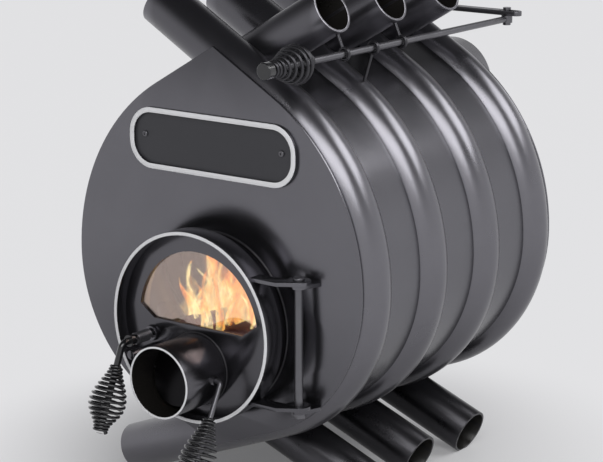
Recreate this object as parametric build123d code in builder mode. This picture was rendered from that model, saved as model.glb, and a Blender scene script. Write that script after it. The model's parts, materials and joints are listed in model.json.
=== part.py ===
from build123d import *
from math import atan2, cos, degrees, pi, radians, sin, sqrt, tan
import os

os.makedirs("parts", exist_ok=True)

# A convection wood stove: bent air tubes wrapped round a closed firebox. Cold air enters the
# lower tube ends, which are also the feet, and leaves hot at the upper ends.
# Lengths are in millimetres and angles in degrees. X is across the stove, Y runs from the door
# to the flue and Z is up. The origin is on the floor, under the middle of the whole stove.

# Air tubes: odd ones wrap the right side, even ones the left
TUBE_COUNT = 7
TUBE_R = 28.5
TUBE_WALL = 3.0
WELD_GAP = 0.5
SIDE_REACH = 190.0
UPPER_BEND_R = 230.0
LOWER_BEND_R = 173.0
UPPER_SLOPE = 30.5
LOWER_SLOPE = 21.5
UPPER_LEG = 206.0
LOWER_LEG = 249.0
FOOT_TRIM = 1.5

# Firebox shell
PLATE = 4.0
PLATE_RISE = 16.5
INFILL_RISE = 13.5
INFILL = 3.0

# Flue spigot and its damper
FLUE_UP = 154.0
FLUE_R = 60.0
FLUE_WALL = 3.0
FLUE_LENGTH = 97.0
FLUE_END = 45.0
FLUE_END_R = 59.0
DAMPER_BACK = 33.0
DAMPER_R = 55.5
DAMPER_PLATE = 2.5
DAMPER_REST = 45.0
DAMPER_VENT_R = 15.0
DAMPER_VENT_OUT = 30.0
SPINDLE_R = 5.0
RUNNING_GAP = 0.08
BUSH_R = 10.0
BUSH_RISE = 12.0
SPINDLE_COLLAR_R = 9.0
SPINDLE_COLLAR = 6.0
DAMPER_BOLT_R = 2.5
DAMPER_BOLT_OUT = 25.0
DAMPER_BOLT_HEAD_R = 4.5
DAMPER_BOLT_HEAD = 3.0
LEVER_NUT_R = 7.5
LEVER_NUT = 5.0
SPINDLE_TIP = 2.0

# Control rod, its lever and its eyelets
ROD_ACROSS = 118.0
ROD_UP = 253.5
ROD_R = 4.0
ROD_FRONT = 57.0
ROD_EYE_R = 7.0
ROD_EYE = 9.0
LEVER_WIDTH = 14.0
LEVER = 6.0
LEVER_GAP = 0.5
LINK_PIN_R = 3.0
LINK_HEAD_R = 5.0
LINK_HEAD = 3.0
SLOT_WIDTH = 8.6
SLOT_TRAVEL = 14.0
SLOT_BACK = 1.0
SLOT_WALL = 3.0
EYELET_WIRE_R = 2.0
EYELET_GAP = 0.5
STANDING_TUBE_NUMBER = 3
STANDING_FOOT = 105.0
HANGING_FOOT = 7.0

# Coil grips
WIRE_R = 1.75
GRIP_END_R = 6.5
GRIP_SWELL_R = 20.0
GRIP_SKEW = 1.15
WIRE_BEND = 4.0
FERRULE_R = 9.8
FERRULE = 3.0
GRIP_TURNS = 14
GRIP_PITCH = 5.55
LATCH_GRIP_TURNS = 11
ROD_GRIP_TURNS = 11
ROD_GRIP_PITCH = 5.15
ROD_GRIP_SWELL_R = 20.5
ROD_CAP_R = 9.5
ROD_CAP = 10.0
ROD_CAP_WALL = 3.0

# Afterburning chamber
BAFFLE_UP = 70.0
BAFFLE = 4.0
BAFFLE_GAP = 3.0
BAFFLE_START = 110.0
RAIL_WIDTH = 12.0
RAIL_DEPTH = 12.0
INJECTOR_TUBE_NUMBERS = (1, 2)
INJECTOR_ANGLE = 30.0
INJECTOR_R = 7.0
INJECTOR_WALL = 2.5
INJECTOR_REACH = 30.0
INJECTOR_ROOT = 4.0

# Name plate, left bare
NAME_UP = 148.5
NAME_WIDTH = 240.0
NAME_HEIGHT = 72.0
NAME_CORNER = 32.0
NAME_BACK = 2.0
NAME_RIM = 6.0
NAME_RIM_RISE = 4.0
NAME_SCREW_IN = 21.0
NAME_SCREW_UP = 3.5
NAME_SCREW_R = 3.5
NAME_SCREW_HEAD = 2.0

# Door and the collar it closes on
DOOR_UP = -56.0
COLLAR_R = 104.0
COLLAR_WALL = 4.0
RIM_R = 112.5
RIM_WALL = 4.0
RIM_GAP = 20.0
RIM_DEPTH = 29.0
FACE_RECESS = 17.0
DOOR_PLATE = 3.0
ROPE_DEPTH = 5.0
ROPE_GAP = 0.3
SEAL_RING_R = 98.5
SEAL_RING_WALL = 3.0
SEAL_RING_DEPTH = 7.0
WINDOW_R = 86.5
WINDOW_CORNER_UP = 13.0
WINDOW_BOTTOM = -1.5
WINDOW_BOTTOM_HALF = 65.0
GLASS = 4.0
GLASS_LAP = 5.0
FRAME = 2.0
FRAME_LAP = 8.5
FRAME_OPENING = 1.0
TAB_OUT = 50.0
TAB_UP = -16.0
TAB_SIDE = 16.0
CLAMP_SCREW_R = 2.0
CLAMP_HEAD_R = 4.0
CLAMP_HEAD = 2.5
CLAMP_BITE = 2.0
SPACER_R = 4.5

# Air inlet on the door, with its butterfly damper
INLET_DROP = 51.0
INLET_R = 42.0
INLET_WALL = 2.0
INLET_LENGTH = 71.0
BUTTERFLY_FORWARD = 57.0
BUTTERFLY_R = 38.5
BUTTERFLY = 2.0
BUTTERFLY_REST = 20.0
AXLE_R = 3.0
AXLE_BOSS_R = 6.0
AXLE_BOSS = 5.0
AXLE_TAIL = 6.0
ELBOW_ACROSS = 54.0
ELBOW_R = 5.0
AIR_HANDLE_TILT = 28.5
AIR_HANDLE_NECK = 42.0
SHIELD_WIDTH = 108.0
SHIELD_HEIGHT = 80.0
SHIELD_STANDOFF = 16.0
SHIELD = 2.0
SHIELD_POST_R = 3.0
SHIELD_POST_OUT = 48.0

# Latch, released at rest
LATCH_ACROSS = -69.0
LATCH_DROP = 21.0
STEM_R = 4.0
STEM_ELBOW_R = 9.0
HANDLE_FORWARD = 84.0
LATCH_TILT = 5.0
LATCH_LEAN = 18.0
LATCH_NECK = 25.0
LATCH_TURN = 65.0
CAM_LENGTH = 25.0
CAM_WIDTH = 12.0
CAM_HUB_R = 9.0
CAM = 5.0
CAM_GAP = 0.5
KEEPER = 4.0
KEEPER_REACH = 12.0
KEEPER_WIDTH = 24.0
KEEPER_FORWARD = 10.0
KEEPER_BLANK = 40.0
BUSH_FLANGE_R = 9.0
BUSH_FLANGE = 3.0
BUSH_BODY_R = 7.0
BUSH_TAIL = 2.0
HUB_R = 7.0
HUB = 6.0
SPRING_WIRE_R = 1.0
SPRING_R = 6.0
SPRING_TURNS = 8
SPRING_PITCH = 3.0
SPRING_BEND = 2.2
STOP_R = 5.5
STOP_ACROSS = -65.0
STOP_DROP = 37.0
STOP_LENGTH = 43.0

# Hinge
PIN_ACROSS = 135.5
PIN_FORWARD = 20.0
PIN_R = 5.0
PIN_HEAD_R = 6.5
PIN_HEAD = 3.0
STRAP_TOPS = (73.0, -72.0)
STRAP = 4.5
STRAP_MIDDLE = 35.0
STRAP_WIDTH = 20.0
STRAP_REACH = 42.0
STRAP_SHOULDER = 122.0
STRAP_SHOULDER_WIDTH = 1.0
STRAP_EYE_R = 14.0
LUG = 4.5
LUG_NOSE_R = 9.0
LUG_FLARE = 7.0
LUG_ROOT = 2.0
HINGE_GAP = 0.4
HINGE_NUT_R = 8.5
HINGE_NUT = 5.0

# Places that follow from the sizes above
TUBE_PITCH = 2 * TUBE_R + WELD_GAP
FIRST_TUBE = PLATE + TUBE_R
REAR_FACE = FIRST_TUBE + (TUBE_COUNT - 1) * TUBE_PITCH + TUBE_R
BACK = REAR_FACE + PLATE
FLUE_TIP = BACK + FLUE_LENGTH
DAMPER_AT = BACK + DAMPER_BACK
UPPER_SWEEP = 90 - UPPER_SLOPE
LOWER_SWEEP = 90 - LOWER_SLOPE
# How far a leg goes across, and up or down, in each millimetre of its length
UPPER_ACROSS = cos(radians(UPPER_SLOPE))
UPPER_CLIMB = sin(radians(UPPER_SLOPE))
LOWER_ACROSS = cos(radians(LOWER_SLOPE))
LOWER_FALL = sin(radians(LOWER_SLOPE))
INNER_R = TUBE_R - TUBE_WALL
RIM_FRONT = RIM_GAP + RIM_DEPTH
DOOR_FACE = RIM_FRONT - FACE_RECESS
DOOR_BACK = DOOR_FACE - DOOR_PLATE
COLLAR_FRONT = DOOR_BACK - ROPE_DEPTH - ROPE_GAP
GLASS_BACK = DOOR_BACK - GLASS
FRAME_BACK = GLASS_BACK - FRAME
GRIP_LEAD = 2 * WIRE_R + WIRE_BEND
GRIP_LENGTH = 2 * GRIP_LEAD + GRIP_TURNS * GRIP_PITCH
ROD_GRIP_LENGTH = 2 * GRIP_LEAD + ROD_GRIP_TURNS * ROD_GRIP_PITCH
HANDLE_LENGTH = 2 * FERRULE + GRIP_LENGTH
LATCH_GRIP_LENGTH = 2 * GRIP_LEAD + LATCH_GRIP_TURNS * GRIP_PITCH
AIR_HANDLE_END = AIR_HANDLE_NECK + HANDLE_LENGTH
LATCH_HANDLE_END = LATCH_NECK + 2 * FERRULE + LATCH_GRIP_LENGTH
INLET_UP = DOOR_UP - INLET_DROP
LATCH_UP = DOOR_UP - LATCH_DROP
FRONT_REACH = (
    BUTTERFLY_FORWARD
    + AIR_HANDLE_END * sin(radians(AIR_HANDLE_TILT))
    + FERRULE_R * cos(radians(AIR_HANDLE_TILT))
)


def upper_tangent(side, rise=0.0):
    """Where the upper bend meets the upper leg, on a line this far outside the tube's middle."""
    across = SIDE_REACH - UPPER_BEND_R + (UPPER_BEND_R + rise) * cos(radians(UPPER_SWEEP))
    return (side * across, (UPPER_BEND_R + rise) * sin(radians(UPPER_SWEEP)))


def lower_tangent(side, rise=0.0):
    """Where the lower bend meets the lower leg, on a line this far outside the tube's middle."""
    across = SIDE_REACH - LOWER_BEND_R + (LOWER_BEND_R + rise) * cos(radians(LOWER_SWEEP))
    return (side * across, -(LOWER_BEND_R + rise) * sin(radians(LOWER_SWEEP)))


def upper_end(side):
    across, up = upper_tangent(side)
    return (across - side * UPPER_LEG * UPPER_ACROSS, up + UPPER_LEG * UPPER_CLIMB)


def lower_end(side):
    across, up = lower_tangent(side)
    return (across - side * LOWER_LEG * LOWER_ACROSS, up - LOWER_LEG * LOWER_FALL)


def upper_crossing(rise):
    """Height at the middle of the stove of a line this far outside the upper leg."""
    across, up = upper_tangent(1)
    return up + across * tan(radians(UPPER_SLOPE)) + rise / UPPER_ACROSS


def lower_crossing(rise):
    across, up = lower_tangent(1)
    return up - across * tan(radians(LOWER_SLOPE)) - rise / LOWER_ACROSS


# Height of the bends' centres above the floor, and Y of the front plate's face
BODY_Z = -(lower_end(1)[1] - TUBE_R * LOWER_ACROSS) - FOOT_TRIM
FACE_Y = (FRONT_REACH - FLUE_TIP) / 2


def facing(forward, across=0.0, up=0.0):
    """The upright plane that looks out of the door, this far in front of the front plate."""
    return Plane(origin=(across, FACE_Y - forward, BODY_Z + up), x_dir=(1, 0, 0), z_dir=(0, -1, 0))


def level(up, across=0.0, forward=0.0):
    """The level plane at this height over the bends' centres."""
    return Plane(origin=(across, FACE_Y - forward, BODY_Z + up), x_dir=(1, 0, 0), z_dir=(0, 0, 1))


def sideways(across, forward, up):
    """The upright plane that looks to the right, through this place."""
    return Plane(origin=place(across, forward, up), x_dir=(0, 1, 0), z_dir=(1, 0, 0))


def place(across, forward, up):
    return Vector(across, FACE_Y - forward, BODY_Z + up)


def tube_depth(number):
    """How far the middle of this tube lies behind the front plate's face."""
    return FIRST_TUBE + (number - 1) * TUBE_PITCH


def tube_side(number):
    return 1 if number % 2 else -1


def side_line(side, rise, top, bottom):
    """Draw one side of the stove from top to bottom: leg, two bends, leg."""
    Line(top, upper_tangent(side, rise))
    CenterArc(
        (side * (SIDE_REACH - UPPER_BEND_R), 0),
        UPPER_BEND_R + rise,
        90 - side * (90 - UPPER_SWEEP),
        -side * UPPER_SWEEP,
    )
    CenterArc(
        (side * (SIDE_REACH - LOWER_BEND_R), 0),
        LOWER_BEND_R + rise,
        90 - side * 90,
        -side * LOWER_SWEEP,
    )
    Line(lower_tangent(side, rise), bottom)


def upper_leg_plane(number, along=0.0):
    """The plane square to a tube's upper leg, this far up it from the bend."""
    side = tube_side(number)
    across, up = upper_tangent(side)
    start = place(
        across - side * along * UPPER_ACROSS, -tube_depth(number), up + along * UPPER_CLIMB
    )
    return Plane(origin=start, x_dir=(0, 1, 0), z_dir=(-side * UPPER_ACROSS, 0, UPPER_CLIMB))


def lower_leg_plane(number):
    side = tube_side(number)
    across, up = lower_tangent(side)
    start = place(across, -tube_depth(number), up)
    return Plane(origin=start, x_dir=(0, 1, 0), z_dir=(-side * LOWER_ACROSS, 0, -LOWER_FALL))


def injector_plane(number):
    """The plane square to an injector, on the middle of its tube, looking into the firebox."""
    side = tube_side(number)
    turn = radians(INJECTOR_ANGLE)
    across = side * (SIDE_REACH - UPPER_BEND_R + UPPER_BEND_R * cos(turn))
    start = place(across, -tube_depth(number), UPPER_BEND_R * sin(turn))
    return Plane(origin=start, x_dir=(0, 1, 0), z_dir=(-side * cos(turn), 0, -sin(turn)))


def biarc(start, leave, end, arrive):
    """Draw two tangent arcs between two points with these directions."""
    chord = end - start
    both = leave + arrive
    spread = 2 * (1 - leave.dot(arrive))
    lean = chord.dot(both)
    handle = (-lean + sqrt(lean * lean + spread * chord.dot(chord))) / spread
    first = start + leave * handle
    middle = (first + end - arrive * handle) * 0.5
    TangentArc(start, middle, tangent=leave)
    TangentArc(middle, end, tangent=(middle - first).normalized())


def helix_point(home, axis, first, turns, pitch, end_r, swell_r, at):
    """A point of a swelling helix after so many turns, and its direction there."""
    second = axis.cross(first)
    share = at / turns
    bulge = pi * share**GRIP_SKEW
    radius = end_r + (swell_r - end_r) * sin(bulge)
    steepness = cos(bulge) * pi * GRIP_SKEW * share ** (GRIP_SKEW - 1) / turns
    turn = 2 * pi * at
    out = first * cos(turn) + second * sin(turn)
    round_about = second * cos(turn) - first * sin(turn)
    point = home + axis * (pitch * at) + out * radius
    heading = axis * pitch + out * ((swell_r - end_r) * steepness) + round_about * (2 * pi * radius)
    return point, heading.normalized()


def wound_wire(home, axis, first, turns, pitch, end_r, swell_r, bend, straight):
    """Draw a wound wire whose straight ends stand along its axis. Home is where it starts."""
    bottom = home + axis * (straight + bend)
    begin, begin_way = helix_point(bottom, axis, first, turns, pitch, end_r, swell_r, 0)
    finish, finish_way = helix_point(bottom, axis, first, turns, pitch, end_r, swell_r, turns)
    foot = begin - begin_way * bend
    foot = foot - axis * (foot - home).dot(axis)
    head = finish + finish_way * bend
    head = head + axis * (2 * (straight + bend) + turns * pitch - (head - home).dot(axis))
    Line(foot, foot + axis * straight)
    biarc(foot + axis * straight, axis, begin, begin_way)
    for half in range(2 * turns):
        one, one_way = helix_point(bottom, axis, first, turns, pitch, end_r, swell_r, half / 2)
        two, two_way = helix_point(bottom, axis, first, turns, pitch, end_r, swell_r, (half + 1) / 2)
        biarc(one, one_way, two, two_way)
    biarc(finish, finish_way, head - axis * straight, axis)
    Line(head - axis * straight, head)


GAP_STEPS_PER_TURN = 24


def least_gap(route, wire_r, turns):
    """The least distance between the surfaces of two turns of a wound wire."""
    steps = GAP_STEPS_PER_TURN * turns
    points = [route.position_at(step / steps) for step in range(steps + 1)]
    nearest = min(
        (points[a] - points[b]).length
        for a in range(0, steps + 1, 2)
        for b in range(a + GAP_STEPS_PER_TURN // 2, steps + 1)
    )
    return nearest - 2 * wire_r


# Air tubes
for number in range(1, TUBE_COUNT + 1):
    side = tube_side(number)
    with BuildPart() as convection_tube:
        with BuildLine(facing(-tube_depth(number))) as tube_route:
            side_line(side, 0, upper_end(side), lower_end(side))
        with BuildSketch(Plane(origin=tube_route.line @ 0, z_dir=tube_route.line % 0)):
            Circle(TUBE_R)
            Circle(INNER_R, mode=Mode.SUBTRACT)
        sweep(path=tube_route.line)
        split(bisect_by=Plane.XY, keep=Keep.TOP)
        if number in INJECTOR_TUBE_NUMBERS:
            with BuildSketch(injector_plane(number)):
                Circle(INJECTOR_R)
            extrude(amount=TUBE_R + INJECTOR_R, mode=Mode.SUBTRACT)
    convection_tube.part.label = f"convection_tube_{number}"
    export_step(convection_tube.part, f"parts/convection_tube_{number}.step")

# Infill strips close the firebox between tubes of one side, round the tube that crosses them
INFILL_INNER = INFILL_RISE - INFILL
STRIP_LAP = sqrt(TUBE_R**2 - INFILL_INNER**2)


def crossing_point(side, rise):
    """Where a line outside the upper leg meets the middle of the crossing tube."""
    return (side * rise / (2 * UPPER_CLIMB), upper_crossing(0) + rise / (2 * UPPER_ACROSS))


def lower_crossing_point(side, rise):
    return (side * rise / (2 * LOWER_FALL), lower_crossing(0) - rise / (2 * LOWER_ACROSS))


for crossing in range(1, TUBE_COUNT + 1):
    side = -tube_side(crossing)
    before = tube_depth(crossing - 1) + STRIP_LAP if crossing > 1 else PLATE
    after = tube_depth(crossing + 1) - STRIP_LAP if crossing < TUBE_COUNT else REAR_FACE
    with BuildPart() as infill_strip:
        with BuildSketch(facing(-after)):
            with BuildLine():
                side_line(
                    side,
                    INFILL_RISE,
                    crossing_point(side, INFILL_RISE),
                    lower_crossing_point(side, INFILL_RISE),
                )
                side_line(
                    side,
                    INFILL_INNER,
                    crossing_point(side, INFILL_INNER),
                    lower_crossing_point(side, INFILL_INNER),
                )
                Line(crossing_point(side, INFILL_RISE), crossing_point(side, INFILL_INNER))
                Line(lower_crossing_point(side, INFILL_RISE), lower_crossing_point(side, INFILL_INNER))
            make_face()
        extrude(amount=after - before)
        with BuildSketch(upper_leg_plane(crossing)):
            Circle(TUBE_R)
        extrude(amount=UPPER_LEG, mode=Mode.SUBTRACT)
        with BuildSketch(lower_leg_plane(crossing)):
            Circle(TUBE_R)
        extrude(amount=LOWER_LEG, mode=Mode.SUBTRACT)
    infill_strip.part.label = f"infill_strip_{crossing}"
    export_step(infill_strip.part, f"parts/infill_strip_{crossing}.step")


# The front and rear plates share one pointed outline
plate_top = (0, upper_crossing(PLATE_RISE))
plate_foot = (0, lower_crossing(PLATE_RISE))

with BuildSketch() as plate_shape:
    with BuildLine():
        side_line(1, PLATE_RISE, plate_top, plate_foot)
        side_line(-1, PLATE_RISE, plate_top, plate_foot)
    make_face()

with BuildPart() as front_plate:
    with BuildSketch(facing(0)):
        add(plate_shape.sketch)
        with Locations((0, DOOR_UP)):
            Circle(COLLAR_R, mode=Mode.SUBTRACT)
    extrude(amount=-PLATE)
front_plate.part.label = "front_plate"
export_step(front_plate.part, "parts/front_plate.step")

with BuildPart() as rear_plate:
    with BuildSketch(facing(-REAR_FACE)):
        add(plate_shape.sketch)
        with Locations((0, FLUE_UP)):
            Circle(FLUE_R, mode=Mode.SUBTRACT)
    extrude(amount=-PLATE)
rear_plate.part.label = "rear_plate"
export_step(rear_plate.part, "parts/rear_plate.step")

with BuildPart() as door_collar:
    with BuildSketch(facing(-PLATE, 0, DOOR_UP)):
        Circle(COLLAR_R)
        Circle(COLLAR_R - COLLAR_WALL, mode=Mode.SUBTRACT)
    extrude(amount=COLLAR_FRONT + PLATE)
door_collar.part.label = "door_collar"
export_step(door_collar.part, "parts/door_collar.step")

# Flue spigot: the last stretch is drawn in, so that a flue pipe slips over it
with BuildPart() as flue_spigot:
    with BuildSketch(facing(-REAR_FACE, 0, FLUE_UP)):
        Circle(FLUE_R)
    extrude(amount=-(PLATE + FLUE_LENGTH - FLUE_END))
    with BuildSketch(facing(-(FLUE_TIP - FLUE_END), 0, FLUE_UP)):
        Circle(FLUE_END_R)
    extrude(amount=-FLUE_END)
    with BuildSketch(facing(-REAR_FACE, 0, FLUE_UP)):
        Circle(FLUE_R - FLUE_WALL)
    extrude(amount=-(PLATE + FLUE_LENGTH), mode=Mode.SUBTRACT)
    with BuildSketch(level(FLUE_UP - FLUE_R, 0, -DAMPER_AT)):
        Circle(SPINDLE_R + RUNNING_GAP)
    extrude(amount=2 * FLUE_R, mode=Mode.SUBTRACT)
flue_spigot.part.label = "flue_spigot"
export_step(flue_spigot.part, "parts/flue_spigot.step")

BUSH_TOP = FLUE_UP + FLUE_R + BUSH_RISE

with BuildPart() as damper_bush:
    with BuildSketch(level(FLUE_UP, 0, -DAMPER_AT)):
        Circle(BUSH_R)
        Circle(SPINDLE_R + RUNNING_GAP, mode=Mode.SUBTRACT)
    extrude(amount=FLUE_R + BUSH_RISE)
    with BuildSketch(facing(-BACK, 0, FLUE_UP)):
        Circle(FLUE_R)
    extrude(amount=-FLUE_LENGTH, mode=Mode.SUBTRACT)
damper_bush.part.label = "damper_bush"
export_step(damper_bush.part, "parts/damper_bush.step")

# Flue damper: the disc is bolted against the spindle, which carries the lever on top
EYE_UP = ROD_UP - ROD_EYE / 2
LEVER_UP = EYE_UP + ROD_EYE + LEVER_GAP
damper_normal = Vector(sin(radians(DAMPER_REST)), cos(radians(DAMPER_REST)), 0)
damper_cross = Vector(cos(radians(DAMPER_REST)), -sin(radians(DAMPER_REST)), 0)


def damper_plane(out):
    """The plane of the damper disc, this far off the spindle's middle."""
    middle = place(0, -DAMPER_AT, FLUE_UP) + damper_normal * out
    return Plane(origin=middle, x_dir=damper_cross, z_dir=damper_normal)


with BuildPart() as flue_damper_disc:
    with BuildSketch(damper_plane(SPINDLE_R)):
        Circle(DAMPER_R)
        with Locations((DAMPER_VENT_OUT, 0)):
            Circle(DAMPER_VENT_R, mode=Mode.SUBTRACT)
        with Locations((0, DAMPER_BOLT_OUT), (0, -DAMPER_BOLT_OUT)):
            Circle(DAMPER_BOLT_R, mode=Mode.SUBTRACT)
    extrude(amount=DAMPER_PLATE)
flue_damper_disc.part.label = "flue_damper_disc"
export_step(flue_damper_disc.part, "parts/flue_damper_disc.step")

with BuildPart() as flue_damper_spindle:
    with BuildSketch(level(FLUE_UP - FLUE_R, 0, -DAMPER_AT)):
        Circle(SPINDLE_R)
    extrude(amount=LEVER_UP + LEVER + LEVER_NUT + SPINDLE_TIP - FLUE_UP + FLUE_R)
    with BuildSketch(level(BUSH_TOP + LEVER_GAP, 0, -DAMPER_AT)):
        Circle(SPINDLE_COLLAR_R)
    extrude(amount=SPINDLE_COLLAR)
    with BuildSketch(damper_plane(-SPINDLE_R)):
        with Locations((0, DAMPER_BOLT_OUT), (0, -DAMPER_BOLT_OUT)):
            Circle(DAMPER_BOLT_R)
    extrude(amount=2 * SPINDLE_R, mode=Mode.SUBTRACT)
flue_damper_spindle.part.label = "flue_damper_spindle"
export_step(flue_damper_spindle.part, "parts/flue_damper_spindle.step")

with BuildPart() as flue_damper_bolts:
    with BuildSketch(damper_plane(-SPINDLE_R)):
        with Locations((0, DAMPER_BOLT_OUT), (0, -DAMPER_BOLT_OUT)):
            Circle(DAMPER_BOLT_R)
    extrude(amount=2 * SPINDLE_R + DAMPER_PLATE)
    with BuildSketch(damper_plane(SPINDLE_R + DAMPER_PLATE)):
        with Locations((0, DAMPER_BOLT_OUT), (0, -DAMPER_BOLT_OUT)):
            Circle(DAMPER_BOLT_HEAD_R)
    extrude(amount=DAMPER_BOLT_HEAD)
flue_damper_bolts.part.label = "flue_damper_bolts"
export_step(flue_damper_bolts.part, "parts/flue_damper_bolts.step")

SLOT_START = ROD_ACROSS - SLOT_BACK
SLOT_END = SLOT_START + SLOT_TRAVEL
LEVER_END = SLOT_END + SLOT_WIDTH / 2 + SLOT_WALL - LEVER_WIDTH / 2

with BuildPart() as damper_lever:
    with BuildSketch(level(LEVER_UP, 0, -DAMPER_AT)):
        with Locations((LEVER_END / 2, 0)):
            SlotCenterToCenter(LEVER_END, LEVER_WIDTH)
        Circle(SPINDLE_R, mode=Mode.SUBTRACT)
        with Locations(((SLOT_START + SLOT_END) / 2, 0)):
            SlotCenterToCenter(SLOT_TRAVEL, SLOT_WIDTH, mode=Mode.SUBTRACT)
    extrude(amount=LEVER)
damper_lever.part.label = "damper_lever"
export_step(damper_lever.part, "parts/damper_lever.step")

with BuildPart() as lever_nut:
    with BuildSketch(level(LEVER_UP + LEVER, 0, -DAMPER_AT)):
        RegularPolygon(LEVER_NUT_R, 6)
        Circle(SPINDLE_R, mode=Mode.SUBTRACT)
    extrude(amount=LEVER_NUT)
lever_nut.part.label = "lever_nut"
export_step(lever_nut.part, "parts/lever_nut.step")

# Control rod: pulled out or pushed in, it swings the lever through the pin in its eye
ROD_GRIP_FRONT = ROD_FRONT - ROD_CAP + ROD_CAP_WALL
ROD_GRIP_BACK = ROD_GRIP_FRONT - ROD_GRIP_LENGTH

with BuildPart() as control_rod:
    with BuildSketch(facing(-DAMPER_AT, ROD_ACROSS, ROD_UP)):
        Circle(ROD_R)
    extrude(amount=DAMPER_AT + ROD_FRONT)
    with BuildSketch(level(EYE_UP, ROD_ACROSS, -DAMPER_AT)):
        Circle(ROD_EYE_R)
    extrude(amount=ROD_EYE)
    with BuildSketch(level(EYE_UP, ROD_ACROSS, -DAMPER_AT)):
        Circle(LINK_PIN_R)
    extrude(amount=ROD_EYE, mode=Mode.SUBTRACT)
    with BuildSketch(facing(ROD_GRIP_BACK - FERRULE, ROD_ACROSS, ROD_UP)):
        Circle(FERRULE_R)
    extrude(amount=FERRULE)
control_rod.part.label = "control_rod"
export_step(control_rod.part, "parts/control_rod.step")

with BuildPart() as link_pin:
    with BuildSketch(level(EYE_UP - LINK_HEAD, ROD_ACROSS, -DAMPER_AT)):
        Circle(LINK_HEAD_R)
    extrude(amount=LINK_HEAD)
    with BuildSketch(level(EYE_UP, ROD_ACROSS, -DAMPER_AT)):
        Circle(LINK_PIN_R)
    extrude(amount=ROD_EYE + 2 * LEVER_GAP + LEVER)
    with BuildSketch(level(LEVER_UP + LEVER + LEVER_GAP, ROD_ACROSS, -DAMPER_AT)):
        Circle(LINK_HEAD_R)
    extrude(amount=LINK_HEAD)
link_pin.part.label = "link_pin"
export_step(link_pin.part, "parts/link_pin.step")

with BuildPart() as rod_cap:
    with BuildSketch(facing(ROD_GRIP_FRONT, ROD_ACROSS, ROD_UP)):
        Circle(ROD_CAP_R)
    extrude(amount=ROD_CAP)
    with BuildSketch(facing(ROD_GRIP_FRONT, ROD_ACROSS, ROD_UP)):
        Circle(ROD_R)
    extrude(amount=ROD_CAP - ROD_CAP_WALL, mode=Mode.SUBTRACT)
    fillet(rod_cap.faces().sort_by(Axis.Y)[0].edges(), ROD_CAP_WALL / 2)
rod_cap.part.label = "rod_cap"
export_step(rod_cap.part, "parts/rod_cap.step")

with BuildPart() as rod_grip:
    with BuildLine() as rod_wire:
        wound_wire(
            place(ROD_ACROSS, ROD_GRIP_FRONT, ROD_UP),
            Vector(0, 1, 0),
            Vector(1, 0, 0),
            ROD_GRIP_TURNS,
            ROD_GRIP_PITCH,
            GRIP_END_R,
            ROD_GRIP_SWELL_R,
            WIRE_BEND,
            2 * WIRE_R,
        )
    with BuildSketch(Plane(origin=rod_wire.line @ 0, z_dir=rod_wire.line % 0)):
        Circle(WIRE_R)
    sweep(path=rod_wire.line)
rod_grip.part.label = "rod_grip"
export_step(rod_grip.part, "parts/rod_grip.step")
print("rod grip least gap", round(least_gap(rod_wire.wire(), WIRE_R, ROD_GRIP_TURNS), 2))

# Eyelets guide the rod: one stands on a tube, two hang from the ends of the tubes beside it
EYELET_R = ROD_R + EYELET_GAP + EYELET_WIRE_R
crest = sqrt((UPPER_BEND_R + TUBE_R) ** 2 - (STANDING_FOOT - SIDE_REACH + UPPER_BEND_R) ** 2)
standing_foot = place(STANDING_FOOT, -tube_depth(STANDING_TUBE_NUMBER), crest - EYELET_WIRE_R)
standing_eye = place(ROD_ACROSS, -tube_depth(STANDING_TUBE_NUMBER), ROD_UP)
standing_way = (standing_eye - standing_foot).normalized()
standing_stalk = (standing_eye - standing_foot).length - EYELET_R

with BuildPart() as standing_eyelet:
    with BuildSketch(Plane(origin=standing_foot, z_dir=standing_way)):
        Circle(EYELET_WIRE_R)
    extrude(amount=standing_stalk)
    with Locations(facing(-tube_depth(STANDING_TUBE_NUMBER), ROD_ACROSS, ROD_UP)):
        Torus(EYELET_R, EYELET_WIRE_R)
    with Locations(facing(-tube_depth(STANDING_TUBE_NUMBER), SIDE_REACH - UPPER_BEND_R, 0)):
        Torus(UPPER_BEND_R, TUBE_R, mode=Mode.SUBTRACT)
standing_eyelet.part.label = "standing_eyelet"
export_step(standing_eyelet.part, "parts/standing_eyelet.step")

with BuildPart() as hanging_eyelets:
    for number in (STANDING_TUBE_NUMBER - 1, STANDING_TUBE_NUMBER + 1):
        hook = upper_leg_plane(number, UPPER_LEG - HANGING_FOOT).origin
        eye = place(ROD_ACROSS, -tube_depth(number), ROD_UP)
        under = hook + Vector(UPPER_CLIMB, 0, -UPPER_ACROSS) * (TUBE_R - EYELET_WIRE_R)
        with BuildSketch(Plane(origin=under, z_dir=(eye - under).normalized())):
            Circle(EYELET_WIRE_R)
        extrude(amount=(eye - under).length - EYELET_R)
        with Locations(facing(-tube_depth(number), ROD_ACROSS, ROD_UP)):
            Torus(EYELET_R, EYELET_WIRE_R)
        with BuildSketch(upper_leg_plane(number)):
            Circle(TUBE_R)
        extrude(amount=UPPER_LEG, mode=Mode.SUBTRACT)
hanging_eyelets.part.label = "hanging_eyelets"
export_step(hanging_eyelets.part, "parts/hanging_eyelets.step")

# Afterburning chamber: the baffle lies on two rails, and injectors feed it hot air
BAFFLE_HALF = (
    SIDE_REACH
    - UPPER_BEND_R
    + sqrt((UPPER_BEND_R - TUBE_R) ** 2 - (BAFFLE_UP + BAFFLE) ** 2)
    - BAFFLE_GAP
)

with BuildPart() as baffle_rails:
    with BuildSketch(level(BAFFLE_UP - RAIL_DEPTH, 0, -(PLATE + REAR_FACE) / 2)):
        with Locations((BAFFLE_HALF - RAIL_WIDTH / 2, 0), (RAIL_WIDTH / 2 - BAFFLE_HALF, 0)):
            Rectangle(RAIL_WIDTH, REAR_FACE - PLATE)
    extrude(amount=RAIL_DEPTH)
baffle_rails.part.label = "baffle_rails"
export_step(baffle_rails.part, "parts/baffle_rails.step")

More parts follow.
